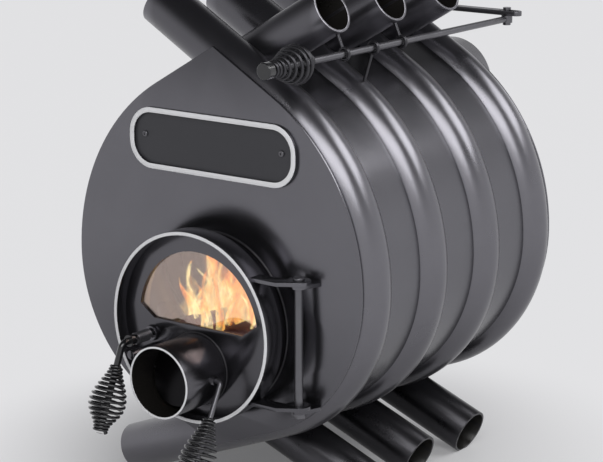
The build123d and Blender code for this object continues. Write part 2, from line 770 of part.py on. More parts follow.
with BuildPart() as baffle_plate:
    with BuildSketch(level(BAFFLE_UP, 0, -(BAFFLE_START + REAR_FACE) / 2)):
        Rectangle(2 * BAFFLE_HALF, REAR_FACE - BAFFLE_START)
    extrude(amount=BAFFLE)
baffle_plate.part.label = "baffle_plate"
export_step(baffle_plate.part, "parts/baffle_plate.step")

with BuildPart() as injector_nozzles:
    for number in INJECTOR_TUBE_NUMBERS:
        with BuildSketch(injector_plane(number).offset(INNER_R - INJECTOR_ROOT)):
            Circle(INJECTOR_R)
            Circle(INJECTOR_R - INJECTOR_WALL, mode=Mode.SUBTRACT)
        extrude(amount=INJECTOR_ROOT + TUBE_WALL + INJECTOR_REACH)
injector_nozzles.part.label = "injector_nozzles"
export_step(injector_nozzles.part, "parts/injector_nozzles.step")

# Name plate with a raised rim and a bare field
NAME_SCREW_OUT = NAME_WIDTH / 2 - NAME_SCREW_IN

with BuildPart() as name_plate:
    with BuildSketch(facing(0, 0, NAME_UP)):
        RectangleRounded(NAME_WIDTH, NAME_HEIGHT, NAME_CORNER)
    extrude(amount=NAME_BACK)
name_plate.part.label = "name_plate"
export_step(name_plate.part, "parts/name_plate.step")

with BuildPart() as name_plate_rim:
    with BuildSketch(facing(NAME_BACK, 0, NAME_UP)):
        RectangleRounded(NAME_WIDTH, NAME_HEIGHT, NAME_CORNER)
        RectangleRounded(
            NAME_WIDTH - 2 * NAME_RIM,
            NAME_HEIGHT - 2 * NAME_RIM,
            NAME_CORNER - NAME_RIM,
            mode=Mode.SUBTRACT,
        )
    extrude(amount=NAME_RIM_RISE)
name_plate_rim.part.label = "name_plate_rim"
export_step(name_plate_rim.part, "parts/name_plate_rim.step")

with BuildPart() as name_plate_screws:
    with BuildSketch(facing(NAME_BACK, 0, NAME_UP + NAME_SCREW_UP)):
        with Locations((NAME_SCREW_OUT, 0), (-NAME_SCREW_OUT, 0)):
            Circle(NAME_SCREW_R)
    extrude(amount=NAME_SCREW_HEAD)
    fillet(name_plate_screws.faces().group_by(Axis.Y)[0].edges(), NAME_SCREW_HEAD / 2)
name_plate_screws.part.label = "name_plate_screws"
export_step(name_plate_screws.part, "parts/name_plate_screws.step")


# Door: the window is an arch with a flat sill and two cut lower corners
WINDOW_CORNER_HALF = sqrt(WINDOW_R**2 - WINDOW_CORNER_UP**2)

with BuildSketch() as window_shape:
    with BuildLine():
        Polyline(
            (-WINDOW_CORNER_HALF, WINDOW_CORNER_UP),
            (-WINDOW_BOTTOM_HALF, WINDOW_BOTTOM),
            (WINDOW_BOTTOM_HALF, WINDOW_BOTTOM),
            (WINDOW_CORNER_HALF, WINDOW_CORNER_UP),
        )
        ThreePointArc(
            (WINDOW_CORNER_HALF, WINDOW_CORNER_UP),
            (0, WINDOW_R),
            (-WINDOW_CORNER_HALF, WINDOW_CORNER_UP),
        )
    make_face()

with BuildSketch() as frame_opening:
    add(window_shape.sketch)
    offset(amount=FRAME_OPENING, kind=Kind.INTERSECTION, mode=Mode.REPLACE)

with BuildPart() as door_rim:
    with BuildSketch(facing(RIM_GAP, 0, DOOR_UP)):
        Circle(RIM_R)
        Circle(RIM_R - RIM_WALL, mode=Mode.SUBTRACT)
    extrude(amount=RIM_DEPTH)
door_rim.part.label = "door_rim"
export_step(door_rim.part, "parts/door_rim.step")

with BuildPart() as door_plate:
    with BuildSketch(facing(DOOR_BACK, 0, DOOR_UP)):
        Circle(RIM_R - RIM_WALL)
        add(window_shape.sketch, mode=Mode.SUBTRACT)
        with Locations((0, -INLET_DROP)):
            Circle(INLET_R, mode=Mode.SUBTRACT)
        with Locations((LATCH_ACROSS, -LATCH_DROP)):
            Circle(BUSH_BODY_R, mode=Mode.SUBTRACT)
    extrude(amount=DOOR_PLATE)
    with BuildSketch(facing(DOOR_BACK, 0, DOOR_UP)):
        with Locations((TAB_OUT, TAB_UP), (-TAB_OUT, TAB_UP)):
            Circle(CLAMP_SCREW_R)
    extrude(amount=CLAMP_BITE, mode=Mode.SUBTRACT)
door_plate.part.label = "door_plate"
export_step(door_plate.part, "parts/door_plate.step")

with BuildPart() as seal_ring:
    with BuildSketch(facing(DOOR_BACK, 0, DOOR_UP)):
        Circle(SEAL_RING_R)
        Circle(SEAL_RING_R - SEAL_RING_WALL, mode=Mode.SUBTRACT)
    extrude(amount=-SEAL_RING_DEPTH)
seal_ring.part.label = "seal_ring"
export_step(seal_ring.part, "parts/seal_ring.step")

with BuildPart() as seal_rope:
    with BuildSketch(facing(DOOR_BACK, 0, DOOR_UP)):
        Circle(RIM_R - RIM_WALL)
        Circle(SEAL_RING_R, mode=Mode.SUBTRACT)
    extrude(amount=-ROPE_DEPTH)
seal_rope.part.label = "seal_rope"
export_step(seal_rope.part, "parts/seal_rope.step")

with BuildPart() as door_glass:
    with BuildSketch(facing(DOOR_BACK, 0, DOOR_UP)):
        add(window_shape.sketch)
        offset(amount=GLASS_LAP, kind=Kind.INTERSECTION, mode=Mode.REPLACE)
    extrude(amount=-GLASS)
door_glass.part.label = "door_glass"
export_step(door_glass.part, "parts/door_glass.step")

with BuildPart() as glass_frame:
    with BuildSketch(facing(GLASS_BACK, 0, DOOR_UP)):
        add(window_shape.sketch)
        offset(amount=FRAME_LAP, kind=Kind.INTERSECTION, mode=Mode.REPLACE)
        with Locations((TAB_OUT, TAB_UP), (-TAB_OUT, TAB_UP)):
            Rectangle(TAB_SIDE, TAB_SIDE)
            Circle(CLAMP_SCREW_R, mode=Mode.SUBTRACT)
        add(frame_opening.sketch, mode=Mode.SUBTRACT)
    extrude(amount=-FRAME)
glass_frame.part.label = "glass_frame"
export_step(glass_frame.part, "parts/glass_frame.step")

with BuildPart() as glass_screws:
    with BuildSketch(facing(FRAME_BACK, 0, DOOR_UP)):
        with Locations((TAB_OUT, TAB_UP), (-TAB_OUT, TAB_UP)):
            Circle(CLAMP_HEAD_R)
    extrude(amount=-CLAMP_HEAD)
    with BuildSketch(facing(FRAME_BACK, 0, DOOR_UP)):
        with Locations((TAB_OUT, TAB_UP), (-TAB_OUT, TAB_UP)):
            Circle(CLAMP_SCREW_R)
    extrude(amount=FRAME + GLASS + CLAMP_BITE)
glass_screws.part.label = "glass_screws"
export_step(glass_screws.part, "parts/glass_screws.step")

with BuildPart() as glass_spacers:
    with BuildSketch(facing(GLASS_BACK, 0, DOOR_UP)):
        with Locations((TAB_OUT, TAB_UP), (-TAB_OUT, TAB_UP)):
            Circle(SPACER_R)
            Circle(CLAMP_SCREW_R, mode=Mode.SUBTRACT)
    extrude(amount=GLASS)
glass_spacers.part.label = "glass_spacers"
export_step(glass_spacers.part, "parts/glass_spacers.step")

# Air inlet with a boss on each side for the butterfly's axle
with BuildPart() as air_inlet:
    with BuildSketch(facing(DOOR_BACK, 0, INLET_UP)):
        Circle(INLET_R)
    extrude(amount=DOOR_PLATE + INLET_LENGTH)
    with BuildSketch(sideways(-INLET_R - AXLE_BOSS, BUTTERFLY_FORWARD, INLET_UP)):
        Circle(AXLE_BOSS_R)
    extrude(amount=2 * (INLET_R + AXLE_BOSS))
    with BuildSketch(facing(DOOR_BACK, 0, INLET_UP)):
        Circle(INLET_R - INLET_WALL)
    extrude(amount=DOOR_PLATE + INLET_LENGTH, mode=Mode.SUBTRACT)
    with BuildSketch(sideways(-INLET_R - AXLE_BOSS, BUTTERFLY_FORWARD, INLET_UP)):
        Circle(AXLE_R + RUNNING_GAP)
    extrude(amount=2 * (INLET_R + AXLE_BOSS), mode=Mode.SUBTRACT)
air_inlet.part.label = "air_inlet"
export_step(air_inlet.part, "parts/air_inlet.step")

with BuildPart() as ember_shield:
    with BuildSketch(facing(DOOR_BACK - SHIELD_STANDOFF, 0, INLET_UP)):
        SlotOverall(SHIELD_WIDTH, SHIELD_HEIGHT)
    extrude(amount=-SHIELD)
    with BuildSketch(facing(DOOR_BACK, 0, INLET_UP)):
        with Locations((SHIELD_POST_OUT, 0), (-SHIELD_POST_OUT, 0)):
            Circle(SHIELD_POST_R)
    extrude(amount=-SHIELD_STANDOFF)
ember_shield.part.label = "ember_shield"
export_step(ember_shield.part, "parts/ember_shield.step")

air_down = Vector(0, -sin(radians(AIR_HANDLE_TILT)), -cos(radians(AIR_HANDLE_TILT)))
axle_elbow = place(ELBOW_ACROSS, BUTTERFLY_FORWARD, INLET_UP)

with BuildPart() as butterfly_disc:
    with BuildSketch(
        Plane(
            origin=place(0, BUTTERFLY_FORWARD, INLET_UP),
            x_dir=(1, 0, 0),
            z_dir=(0, -cos(radians(BUTTERFLY_REST)), sin(radians(BUTTERFLY_REST))),
        ).offset(AXLE_R)
    ):
        Circle(BUTTERFLY_R)
    extrude(amount=BUTTERFLY)
butterfly_disc.part.label = "butterfly_disc"
export_step(butterfly_disc.part, "parts/butterfly_disc.step")

with BuildPart() as air_handle:
    with BuildLine() as air_rod:
        FilletPolyline(
            place(-INLET_R - AXLE_TAIL, BUTTERFLY_FORWARD, INLET_UP),
            axle_elbow,
            axle_elbow + air_down * AIR_HANDLE_END,
            radius=ELBOW_R,
        )
    with BuildSketch(Plane(origin=air_rod.line @ 0, z_dir=air_rod.line % 0)):
        Circle(AXLE_R)
    sweep(path=air_rod.line)
    for along in (AIR_HANDLE_NECK, AIR_HANDLE_END - FERRULE):
        with BuildSketch(Plane(origin=axle_elbow + air_down * along, z_dir=air_down)):
            Circle(FERRULE_R)
        extrude(amount=FERRULE)
air_handle.part.label = "air_handle"
export_step(air_handle.part, "parts/air_handle.step")

with BuildPart() as air_grip:
    with BuildLine() as air_wire:
        wound_wire(
            axle_elbow + air_down * (AIR_HANDLE_NECK + FERRULE),
            air_down,
            Vector(1, 0, 0),
            GRIP_TURNS,
            GRIP_PITCH,
            GRIP_END_R,
            GRIP_SWELL_R,
            WIRE_BEND,
            2 * WIRE_R,
        )
    with BuildSketch(Plane(origin=air_wire.line @ 0, z_dir=air_wire.line % 0)):
        Circle(WIRE_R)
    sweep(path=air_wire.line)
air_grip.part.label = "air_grip"
export_step(air_grip.part, "parts/air_grip.step")
print("air grip least gap", round(least_gap(air_wire.wire(), WIRE_R, GRIP_TURNS), 2))

# Latch: the stem turns in a bush through the door, and the cam swings behind the keeper
latch_down = Vector(
    -sin(radians(LATCH_TILT)) * cos(radians(LATCH_LEAN)),
    -sin(radians(LATCH_LEAN)),
    -cos(radians(LATCH_TILT)) * cos(radians(LATCH_LEAN)),
)
stem_corner = place(LATCH_ACROSS, HANDLE_FORWARD, LATCH_UP)
CAM_FRONT = KEEPER_FORWARD - CAM_GAP
keeper_angle = degrees(atan2(-LATCH_DROP, LATCH_ACROSS))
cam_angle = keeper_angle + LATCH_TURN
LATCH_BUSH_FRONT = DOOR_FACE + BUSH_FLANGE
SPRING_LENGTH = 2 * (2 * SPRING_WIRE_R + SPRING_BEND) + SPRING_TURNS * SPRING_PITCH

with BuildPart() as latch_keeper:
    with BuildSketch(facing(KEEPER_FORWARD, 0, DOOR_UP)):
        Circle(COLLAR_R - COLLAR_WALL)
        Circle(COLLAR_R - COLLAR_WALL - KEEPER_REACH, mode=Mode.SUBTRACT)
        with PolarLocations(COLLAR_R - COLLAR_WALL - KEEPER_REACH, 1, keeper_angle):
            Rectangle(KEEPER_BLANK, KEEPER_WIDTH, mode=Mode.INTERSECT)
    extrude(amount=KEEPER)
latch_keeper.part.label = "latch_keeper"
export_step(latch_keeper.part, "parts/latch_keeper.step")

with BuildPart() as latch_bush:
    with BuildSketch(facing(DOOR_FACE, LATCH_ACROSS, LATCH_UP)):
        Circle(BUSH_FLANGE_R)
    extrude(amount=BUSH_FLANGE)
    with BuildSketch(facing(DOOR_BACK - BUSH_TAIL, LATCH_ACROSS, LATCH_UP)):
        Circle(BUSH_BODY_R)
    extrude(amount=BUSH_TAIL + DOOR_PLATE)
    with BuildSketch(facing(DOOR_BACK - BUSH_TAIL, LATCH_ACROSS, LATCH_UP)):
        Circle(STEM_R + RUNNING_GAP)
    extrude(amount=BUSH_TAIL + DOOR_PLATE + BUSH_FLANGE, mode=Mode.SUBTRACT)
latch_bush.part.label = "latch_bush"
export_step(latch_bush.part, "parts/latch_bush.step")

with BuildPart() as latch_handle:
    with BuildLine() as latch_rod:
        FilletPolyline(
            place(LATCH_ACROSS, CAM_FRONT - CAM, LATCH_UP),
            stem_corner,
            stem_corner + latch_down * LATCH_HANDLE_END,
            radius=STEM_ELBOW_R,
        )
    with BuildSketch(Plane(origin=latch_rod.line @ 0, z_dir=latch_rod.line % 0)):
        Circle(STEM_R)
    sweep(path=latch_rod.line)
    for along in (LATCH_NECK, LATCH_HANDLE_END - FERRULE):
        with BuildSketch(Plane(origin=stem_corner + latch_down * along, z_dir=latch_down)):
            Circle(FERRULE_R)
        extrude(amount=FERRULE)
    with BuildSketch(facing(LATCH_BUSH_FRONT + SPRING_LENGTH, LATCH_ACROSS, LATCH_UP)):
        Circle(HUB_R)
    extrude(amount=HUB)
latch_handle.part.label = "latch_handle"
export_step(latch_handle.part, "parts/latch_handle.step")

with BuildPart() as latch_grip:
    with BuildLine() as latch_wire:
        wound_wire(
            stem_corner + latch_down * (LATCH_NECK + FERRULE),
            latch_down,
            latch_down.cross(Vector(0, 1, 0)).normalized(),
            LATCH_GRIP_TURNS,
            GRIP_PITCH,
            GRIP_END_R,
            GRIP_SWELL_R,
            WIRE_BEND,
            2 * WIRE_R,
        )
    with BuildSketch(Plane(origin=latch_wire.line @ 0, z_dir=latch_wire.line % 0)):
        Circle(WIRE_R)
    sweep(path=latch_wire.line)
latch_grip.part.label = "latch_grip"
export_step(latch_grip.part, "parts/latch_grip.step")
print("latch grip least gap", round(least_gap(latch_wire.wire(), WIRE_R, LATCH_GRIP_TURNS), 2))

with BuildPart() as latch_spring:
    with BuildLine() as spring_wire:
        wound_wire(
            place(LATCH_ACROSS, LATCH_BUSH_FRONT, LATCH_UP),
            Vector(0, -1, 0),
            Vector(1, 0, 0),
            SPRING_TURNS,
            SPRING_PITCH,
            SPRING_R,
            SPRING_R,
            SPRING_BEND,
            2 * SPRING_WIRE_R,
        )
    with BuildSketch(Plane(origin=spring_wire.line @ 0, z_dir=spring_wire.line % 0)):
        Circle(SPRING_WIRE_R)
    sweep(path=spring_wire.line)
latch_spring.part.label = "latch_spring"
export_step(latch_spring.part, "parts/latch_spring.step")
print("latch spring least gap", round(least_gap(spring_wire.wire(), SPRING_WIRE_R, SPRING_TURNS), 2))

cam_tip = (
    (CAM_LENGTH - CAM_WIDTH / 2) * cos(radians(cam_angle)),
    (CAM_LENGTH - CAM_WIDTH / 2) * sin(radians(cam_angle)),
)

with BuildPart() as latch_cam:
    with BuildSketch(facing(CAM_FRONT - CAM, LATCH_ACROSS, LATCH_UP)):
        Circle(CAM_HUB_R)
        with Locations(cam_tip):
            Circle(CAM_WIDTH / 2)
        make_hull()
        Circle(STEM_R, mode=Mode.SUBTRACT)
    extrude(amount=CAM)
latch_cam.part.label = "latch_cam"
export_step(latch_cam.part, "parts/latch_cam.step")

with BuildPart() as latch_stop:
    with BuildSketch(facing(DOOR_FACE, STOP_ACROSS, DOOR_UP - STOP_DROP)):
        Circle(STOP_R)
    extrude(amount=STOP_LENGTH)
latch_stop.part.label = "latch_stop"
export_step(latch_stop.part, "parts/latch_stop.step")

# Hinge: straps on the door turn over lugs on the front plate, on one long pin
with BuildPart() as door_straps:
    for top in STRAP_TOPS:
        with BuildSketch(level(DOOR_UP + top - STRAP, PIN_ACROSS, PIN_FORWARD)):
            Circle(STRAP_EYE_R)
            with Locations((STRAP_SHOULDER - PIN_ACROSS, PIN_FORWARD - STRAP_MIDDLE)):
                Rectangle(STRAP_SHOULDER_WIDTH, STRAP_WIDTH, align=(Align.MAX, Align.CENTER))
            make_hull()
            with Locations((STRAP_SHOULDER - PIN_ACROSS, PIN_FORWARD - STRAP_MIDDLE)):
                Rectangle(STRAP_REACH, STRAP_WIDTH, align=(Align.MAX, Align.CENTER))
            Circle(PIN_R + RUNNING_GAP, mode=Mode.SUBTRACT)
        extrude(amount=STRAP)
    with BuildSketch(facing(0, 0, DOOR_UP)):
        Circle(RIM_R)
    extrude(amount=RIM_FRONT, mode=Mode.SUBTRACT)
door_straps.part.label = "door_straps"
export_step(door_straps.part, "parts/door_straps.step")

with BuildPart() as hinge_lugs:
    for top in STRAP_TOPS:
        with BuildSketch(level(DOOR_UP + top - STRAP - HINGE_GAP - LUG, PIN_ACROSS, PIN_FORWARD)):
            Circle(LUG_NOSE_R)
            with Locations((0, PIN_FORWARD)):
                Rectangle(2 * (LUG_NOSE_R + LUG_FLARE), LUG_ROOT, align=(Align.CENTER, Align.MAX))
            make_hull()
            Circle(PIN_R, mode=Mode.SUBTRACT)
        extrude(amount=LUG)
hinge_lugs.part.label = "hinge_lugs"
export_step(hinge_lugs.part, "parts/hinge_lugs.step")

PIN_TOP = DOOR_UP + STRAP_TOPS[0] + HINGE_GAP
PIN_BOTTOM = DOOR_UP + STRAP_TOPS[1] - STRAP - HINGE_GAP - LUG - HINGE_NUT

with BuildPart() as hinge_pin:
    with BuildSketch(level(PIN_BOTTOM, PIN_ACROSS, PIN_FORWARD)):
        Circle(PIN_R)
    extrude(amount=PIN_TOP - PIN_BOTTOM)
    with BuildSketch(level(PIN_TOP, PIN_ACROSS, PIN_FORWARD)):
        Circle(PIN_HEAD_R)
    extrude(amount=PIN_HEAD)
    fillet(hinge_pin.faces().sort_by(Axis.Z)[-1].edges(), PIN_HEAD / 2)
hinge_pin.part.label = "hinge_pin"
export_step(hinge_pin.part, "parts/hinge_pin.step")

with BuildPart() as hinge_nut:
    with BuildSketch(level(PIN_BOTTOM, PIN_ACROSS, PIN_FORWARD)):
        RegularPolygon(HINGE_NUT_R, 6)
        Circle(PIN_R, mode=Mode.SUBTRACT)
    extrude(amount=HINGE_NUT)
hinge_nut.part.label = "hinge_nut"
export_step(hinge_nut.part, "parts/hinge_nut.step")

print("front plate face at Y", round(FACE_Y, 3), "bend centres at Z", round(BODY_Z, 3))
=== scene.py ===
# %% [markdown]
# A wood stove that heats air in bent tubes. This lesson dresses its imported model: every surface
# gets a finish made from nodes, and what needs a finer shape is modelled with Blender's own
# operators. The frame comes first, because each piece takes its place from it.

# %% Load the frame
import json
from math import cos, pi, radians, sin, tau
from random import Random

import bmesh
import bpy
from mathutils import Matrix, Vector, noise
from mathutils.bvhtree import BVHTree

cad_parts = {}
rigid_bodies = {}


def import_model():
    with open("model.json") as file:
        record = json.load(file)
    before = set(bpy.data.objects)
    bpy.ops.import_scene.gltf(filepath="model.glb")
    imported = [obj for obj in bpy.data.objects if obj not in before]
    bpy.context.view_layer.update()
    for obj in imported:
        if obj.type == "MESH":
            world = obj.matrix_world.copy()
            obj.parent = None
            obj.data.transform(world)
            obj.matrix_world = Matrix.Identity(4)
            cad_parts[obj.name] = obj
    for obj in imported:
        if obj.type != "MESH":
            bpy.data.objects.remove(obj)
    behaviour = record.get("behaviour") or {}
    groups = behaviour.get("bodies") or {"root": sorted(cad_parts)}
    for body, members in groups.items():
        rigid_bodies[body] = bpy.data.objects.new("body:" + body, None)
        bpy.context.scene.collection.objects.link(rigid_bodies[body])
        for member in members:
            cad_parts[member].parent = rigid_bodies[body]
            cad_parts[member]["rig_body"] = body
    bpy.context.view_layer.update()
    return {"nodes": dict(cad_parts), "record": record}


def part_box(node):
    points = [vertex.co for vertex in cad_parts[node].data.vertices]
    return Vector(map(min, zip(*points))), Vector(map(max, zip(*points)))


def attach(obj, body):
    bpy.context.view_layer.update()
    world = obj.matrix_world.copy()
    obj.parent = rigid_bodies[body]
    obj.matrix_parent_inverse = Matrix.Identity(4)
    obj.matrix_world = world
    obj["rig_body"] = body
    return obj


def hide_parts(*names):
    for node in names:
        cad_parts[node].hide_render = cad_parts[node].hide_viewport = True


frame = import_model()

nodes = frame["nodes"]
slots = {part["node"]: part["material_slot"] for part in frame["record"]["subparts"]}
MM = 0.001

# %% [markdown]
# A few places of the stove are used again and again: the face of the front plate, the middle of
# the door, and the height of the bends. They could be typed in, but read from the boxes of the
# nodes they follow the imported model.

# %% Read the places that the pieces share
rim_low, rim_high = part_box("door_rim")
FRONT_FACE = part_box("front_plate")[0].y
DOOR_MIDDLE = (rim_low + rim_high) / 2
BEND_RISE = 56
BEND_HEIGHT = DOOR_MIDDLE.z + BEND_RISE * MM


def at(across, behind, up):
    """A place in millimetres from the middle of the front plate's face and the bends' height."""
    return Vector((across * MM, FRONT_FACE + behind * MM, BEND_HEIGHT + up * MM))


print("front face", round(FRONT_FACE, 4), "door middle", tuple(round(v, 4) for v in DOOR_MIDDLE))

# %% [markdown]
# The camera stands to the right of the door and a little above it. A wide lens near the stove
# would splay the ribs, so a long lens from some way off keeps them nearly parallel, as a studio
# picture of a product does. A track quaternion aims it.

# %% Place the camera
CAMERA_PLACE = Vector((1.4636, -1.9997, 0.8969))
CAMERA_AIM = Vector((-0.0232, 0.0129, 0.2836))
LENS = 124.77
SENSOR_WIDTH = 36.0
FAR_CLIP = 60.0


def put_in_scene(name, data):
    """A new object for this data, linked to the scene."""
    piece = bpy.data.objects.new(name, data)
    bpy.context.scene.collection.objects.link(piece)
    return piece


camera_data = bpy.data.cameras.new("studio_camera")
camera_data.lens = LENS
camera_data.sensor_width = SENSOR_WIDTH
camera_data.clip_end = FAR_CLIP
camera = put_in_scene("studio_camera", camera_data)
camera.location = CAMERA_PLACE
camera.rotation_euler = (CAMERA_AIM - CAMERA_PLACE).to_track_quat("-Z", "Y").to_euler()
bpy.context.scene.camera = camera
print("camera looks down", round((CAMERA_PLACE - CAMERA_AIM).length, 3), "metres")

# %% [markdown]
# Materials are node trees. They could be drawn by hand in the shader editor; in a script, a few
# small helpers keep each one short. One adds a node, one joins or sets a socket, and the others
# stand for the nodes that every finish needs.

# %% Helpers for node trees
def add_node(tree, kind, **settings):
    """A new node with these settings."""
    node = tree.nodes.new(kind)
    for key, value in settings.items():
        setattr(node, key, value)
    return node


def feed(tree, socket, value):
    """Join an output to this socket, or set the socket to a plain value."""
    if hasattr(value, "is_output"):
        tree.links.new(value, socket)
    else:
        socket.default_value = value


def math_node(tree, operation, first, second=None, clamp=False):
    """A Math node whose inputs are outputs of other nodes or plain numbers."""
    node = add_node(tree, "ShaderNodeMath", operation=operation, use_clamp=clamp)
    for socket, value in zip(node.inputs, (first, second)):
        if value is not None:
            feed(tree, socket, value)
    return node.outputs[0]


def mix_colours(tree, factor, first, second, blend="MIX"):
    """A mix of two colours, each the output of a node or three plain numbers."""
    node = add_node(tree, "ShaderNodeMix", data_type="RGBA", blend_type=blend)
    for socket, value in ((node.inputs[0], factor), (node.inputs[6], first), (node.inputs[7], second)):
        feed(tree, socket, (*value, 1.0) if isinstance(value, tuple) else value)
    return node.outputs[2]


def spread(tree, value, low, high, to_low=0.0, to_high=1.0):
    """Map a value from one range to another, held at both ends."""
    node = add_node(tree, "ShaderNodeMapRange", clamp=True, interpolation_type="SMOOTHSTEP")
    for socket, setting in zip(node.inputs[1:5], (low, high, to_low, to_high)):
        socket.default_value = setting
    tree.links.new(value, node.inputs[0])
    return node.outputs[0]


print("helpers for numbers and colours ready")

# %% Helpers for places, noise and bumps
def object_place(tree):
    """Where a point lies on its object, in metres."""
    return add_node(tree, "ShaderNodeTexCoord").outputs["Object"]


def split(tree, vector):
    """The X, Y and Z of a vector."""
    node = add_node(tree, "ShaderNodeSeparateXYZ")
    tree.links.new(vector, node.inputs[0])
    return node.outputs


def grey_of(tree, level):
    """A grey whose three channels are this level."""
    node = add_node(tree, "ShaderNodeCombineColor")
    for socket in node.inputs:
        tree.links.new(level, socket)
    return node.outputs[0]


def noise_at(tree, place, scale, detail=4.0, roughness=0.55):
    """A soft noise, from about 0 to 1."""
    node = add_node(tree, "ShaderNodeTexNoise")
    node.inputs["Detail"].default_value = detail
    node.inputs["Roughness"].default_value = roughness
    feed(tree, node.inputs["Scale"], scale)
    tree.links.new(place, node.inputs["Vector"])
    return node.outputs["Fac"]


def bump_from(tree, height, distance, strength=1.0):
    """A normal that leans as this height rises and falls over this distance."""
    node = add_node(tree, "ShaderNodeBump")
    node.inputs["Distance"].default_value = distance
    feed(tree, node.inputs["Strength"], strength)
    tree.links.new(height, node.inputs["Height"])
    return node.outputs[0]


def open_material(name, colour, metallic, roughness, **settings):
    """A new material with its shader's plain values set on the shader itself."""
    material = bpy.data.materials.new(name)
    material.use_nodes = True
    tree = material.node_tree
    shader = tree.nodes["Principled BSDF"]
    shader.inputs["Base Color"].default_value = (*colour, 1.0)
    shader.inputs["Metallic"].default_value = metallic
    shader.inputs["Roughness"].default_value = roughness
    for key, value in settings.items():
        shader.inputs[key.replace("_", " ").title().replace("Ior", "IOR")].default_value = value
    return material, tree, shader


print("helpers for patterns and materials ready")

# %% [markdown]
# Several finishes share three effects. Each could be drawn again in every material, but as a node
# group with named inputs it is drawn once. The first is a slow mottling of tone, which sprayed
# paint and rolled steel both have.

# %% Build the mottled tone
QUICK_SCALE = 90.0
SLOW_SHARE = 0.75
CONTRAST = 4.0


def open_group(name, inputs, outputs):
    """A new node group with these named inputs and outputs."""
    group = bpy.data.node_groups.new(name, "ShaderNodeTree")
    for label, kind, value in inputs:
        socket = group.interface.new_socket(name=label, in_out="INPUT", socket_type=kind)
        socket.default_value = value
    for label, kind in outputs:
        group.interface.new_socket(name=label, in_out="OUTPUT", socket_type=kind)
    return group, add_node(group, "NodeGroupInput"), add_node(group, "NodeGroupOutput")


mottle, mottle_in, mottle_out = open_group(
    "mottled_tone",
    (
        ("Color", "NodeSocketColor", (0.1, 0.1, 0.1, 1.0)),
        ("Amount", "NodeSocketFloat", 0.1),
        ("Scale", "NodeSocketFloat", 12.0),
    ),
    (("Color", "NodeSocketColor"),),
)
place = object_place(mottle)
slow = math_node(mottle, "MULTIPLY", noise_at(mottle, place, mottle_in.outputs["Scale"]), SLOW_SHARE)
quick = math_node(mottle, "MULTIPLY", noise_at(mottle, place, QUICK_SCALE, 3.0), 1 - SLOW_SHARE)
level = math_node(mottle, "SUBTRACT", math_node(mottle, "ADD", slow, quick), 0.5)
shift = math_node(mottle, "MULTIPLY", level, mottle_in.outputs["Amount"])
brightness = math_node(mottle, "ADD", math_node(mottle, "MULTIPLY", shift, CONTRAST), 1.0)
toned = mix_colours(mottle, 1.0, mottle_in.outputs["Color"], grey_of(mottle, brightness), "MULTIPLY")
mottle.links.new(toned, mottle_out.inputs["Color"])
print("group", mottle.name, "nodes", len(mottle.nodes))

# %% [markdown]
# The second effect is the fine grain of the coat. It bends the light a little, as the peel of
# sprayed paint does, and makes some patches rougher than others.

# %% Build the fine grain
PEEL_DEPTH = 0.2 * MM
PATCH_SCALE = 22.0

grain, grain_in, grain_out = open_group(
    "fine_grain",
    (
        ("Scale", "NodeSocketFloat", 900.0),
        ("Strength", "NodeSocketFloat", 0.1),
        ("Roughness", "NodeSocketFloat", 0.4),
        ("Spread", "NodeSocketFloat", 0.1),
    ),
    (("Normal", "NodeSocketVector"), ("Roughness", "NodeSocketFloat")),
)
place = object_place(grain)
peel_height = noise_at(grain, place, grain_in.outputs["Scale"], 2.0)
bent = bump_from(grain, peel_height, PEEL_DEPTH, grain_in.outputs["Strength"])
grain.links.new(bent, grain_out.inputs["Normal"])
patches = math_node(grain, "SUBTRACT", noise_at(grain, place, PATCH_SCALE), 0.5)
rougher = math_node(grain, "MULTIPLY", patches, grain_in.outputs["Spread"])
uneven = math_node(grain, "ADD", grain_in.outputs["Roughness"], rougher)
grain.links.new(uneven, grain_out.inputs["Roughness"])
print("group", grain.name, "nodes", len(grain.nodes))

# %% [markdown]
# The third effect is the soot on what faces the fire. The tubes are painted outside and sooty
# inside, and both are one surface. So the mask is an oval in the stove's own space, which runs
# through the middles of the bent tubes, between the front plate and the rear plate.

# %% Build the soot's mask
PLATE_SKIN = 2 * MM

soot, soot_in, soot_out = open_group(
    "soot_mask",
    (
        ("Half Width", "NodeSocketFloat", 175 * MM),
        ("Top", "NodeSocketFloat", 226 * MM),
        ("Bottom", "NodeSocketFloat", 185 * MM),
    ),
    (("Mask", "NodeSocketFloat"),),
)
spot = split(soot, object_place(soot))
rise = math_node(soot, "SUBTRACT", spot["Z"], BEND_HEIGHT)
fall = math_node(soot, "MULTIPLY", rise, -1.0)
upward = math_node(soot, "DIVIDE", rise, soot_in.outputs["Top"])
downward = math_node(soot, "DIVIDE", fall, soot_in.outputs["Bottom"])
tall = math_node(soot, "MAXIMUM", upward, downward)
wide = math_node(soot, "DIVIDE", spot["X"], soot_in.outputs["Half Width"])
tall_square = math_node(soot, "POWER", tall, 2.0)
wide_square = math_node(soot, "MULTIPLY", wide, wide)
reach = math_node(soot, "SQRT", math_node(soot, "ADD", tall_square, wide_square))
inside = math_node(soot, "SUBTRACT", 1.0, math_node(soot, "GREATER_THAN", reach, 1.0))
behind_face = math_node(soot, "GREATER_THAN", spot["Y"], FRONT_FACE + PLATE_SKIN)
before_back = math_node(soot, "LESS_THAN", spot["Y"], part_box("rear_plate")[1].y - PLATE_SKIN)
between = math_node(soot, "MULTIPLY", behind_face, before_back)
soot.links.new(math_node(soot, "MULTIPLY", inside, between), soot_out.inputs["Mask"])
print("group", soot.name, "nodes", len(soot.nodes))

# %% [markdown]
# A finish joins the effects to one shader. Graphite paint for stoves is full of metal flakes, so
# it is nearly a metal to the shader, and takes the long soft highlights of the lamps. Its colour
# and roughness come from the groups, and every plain value is set on the shader itself.

# %% Join the effects to a steel
ROUGHNESS_SPREAD = 0.12
# Near black: soot in the firebox, and painted shade deep inside the pipes.
SOOT_AND_SHADE = (0.012, 0.011, 0.010)


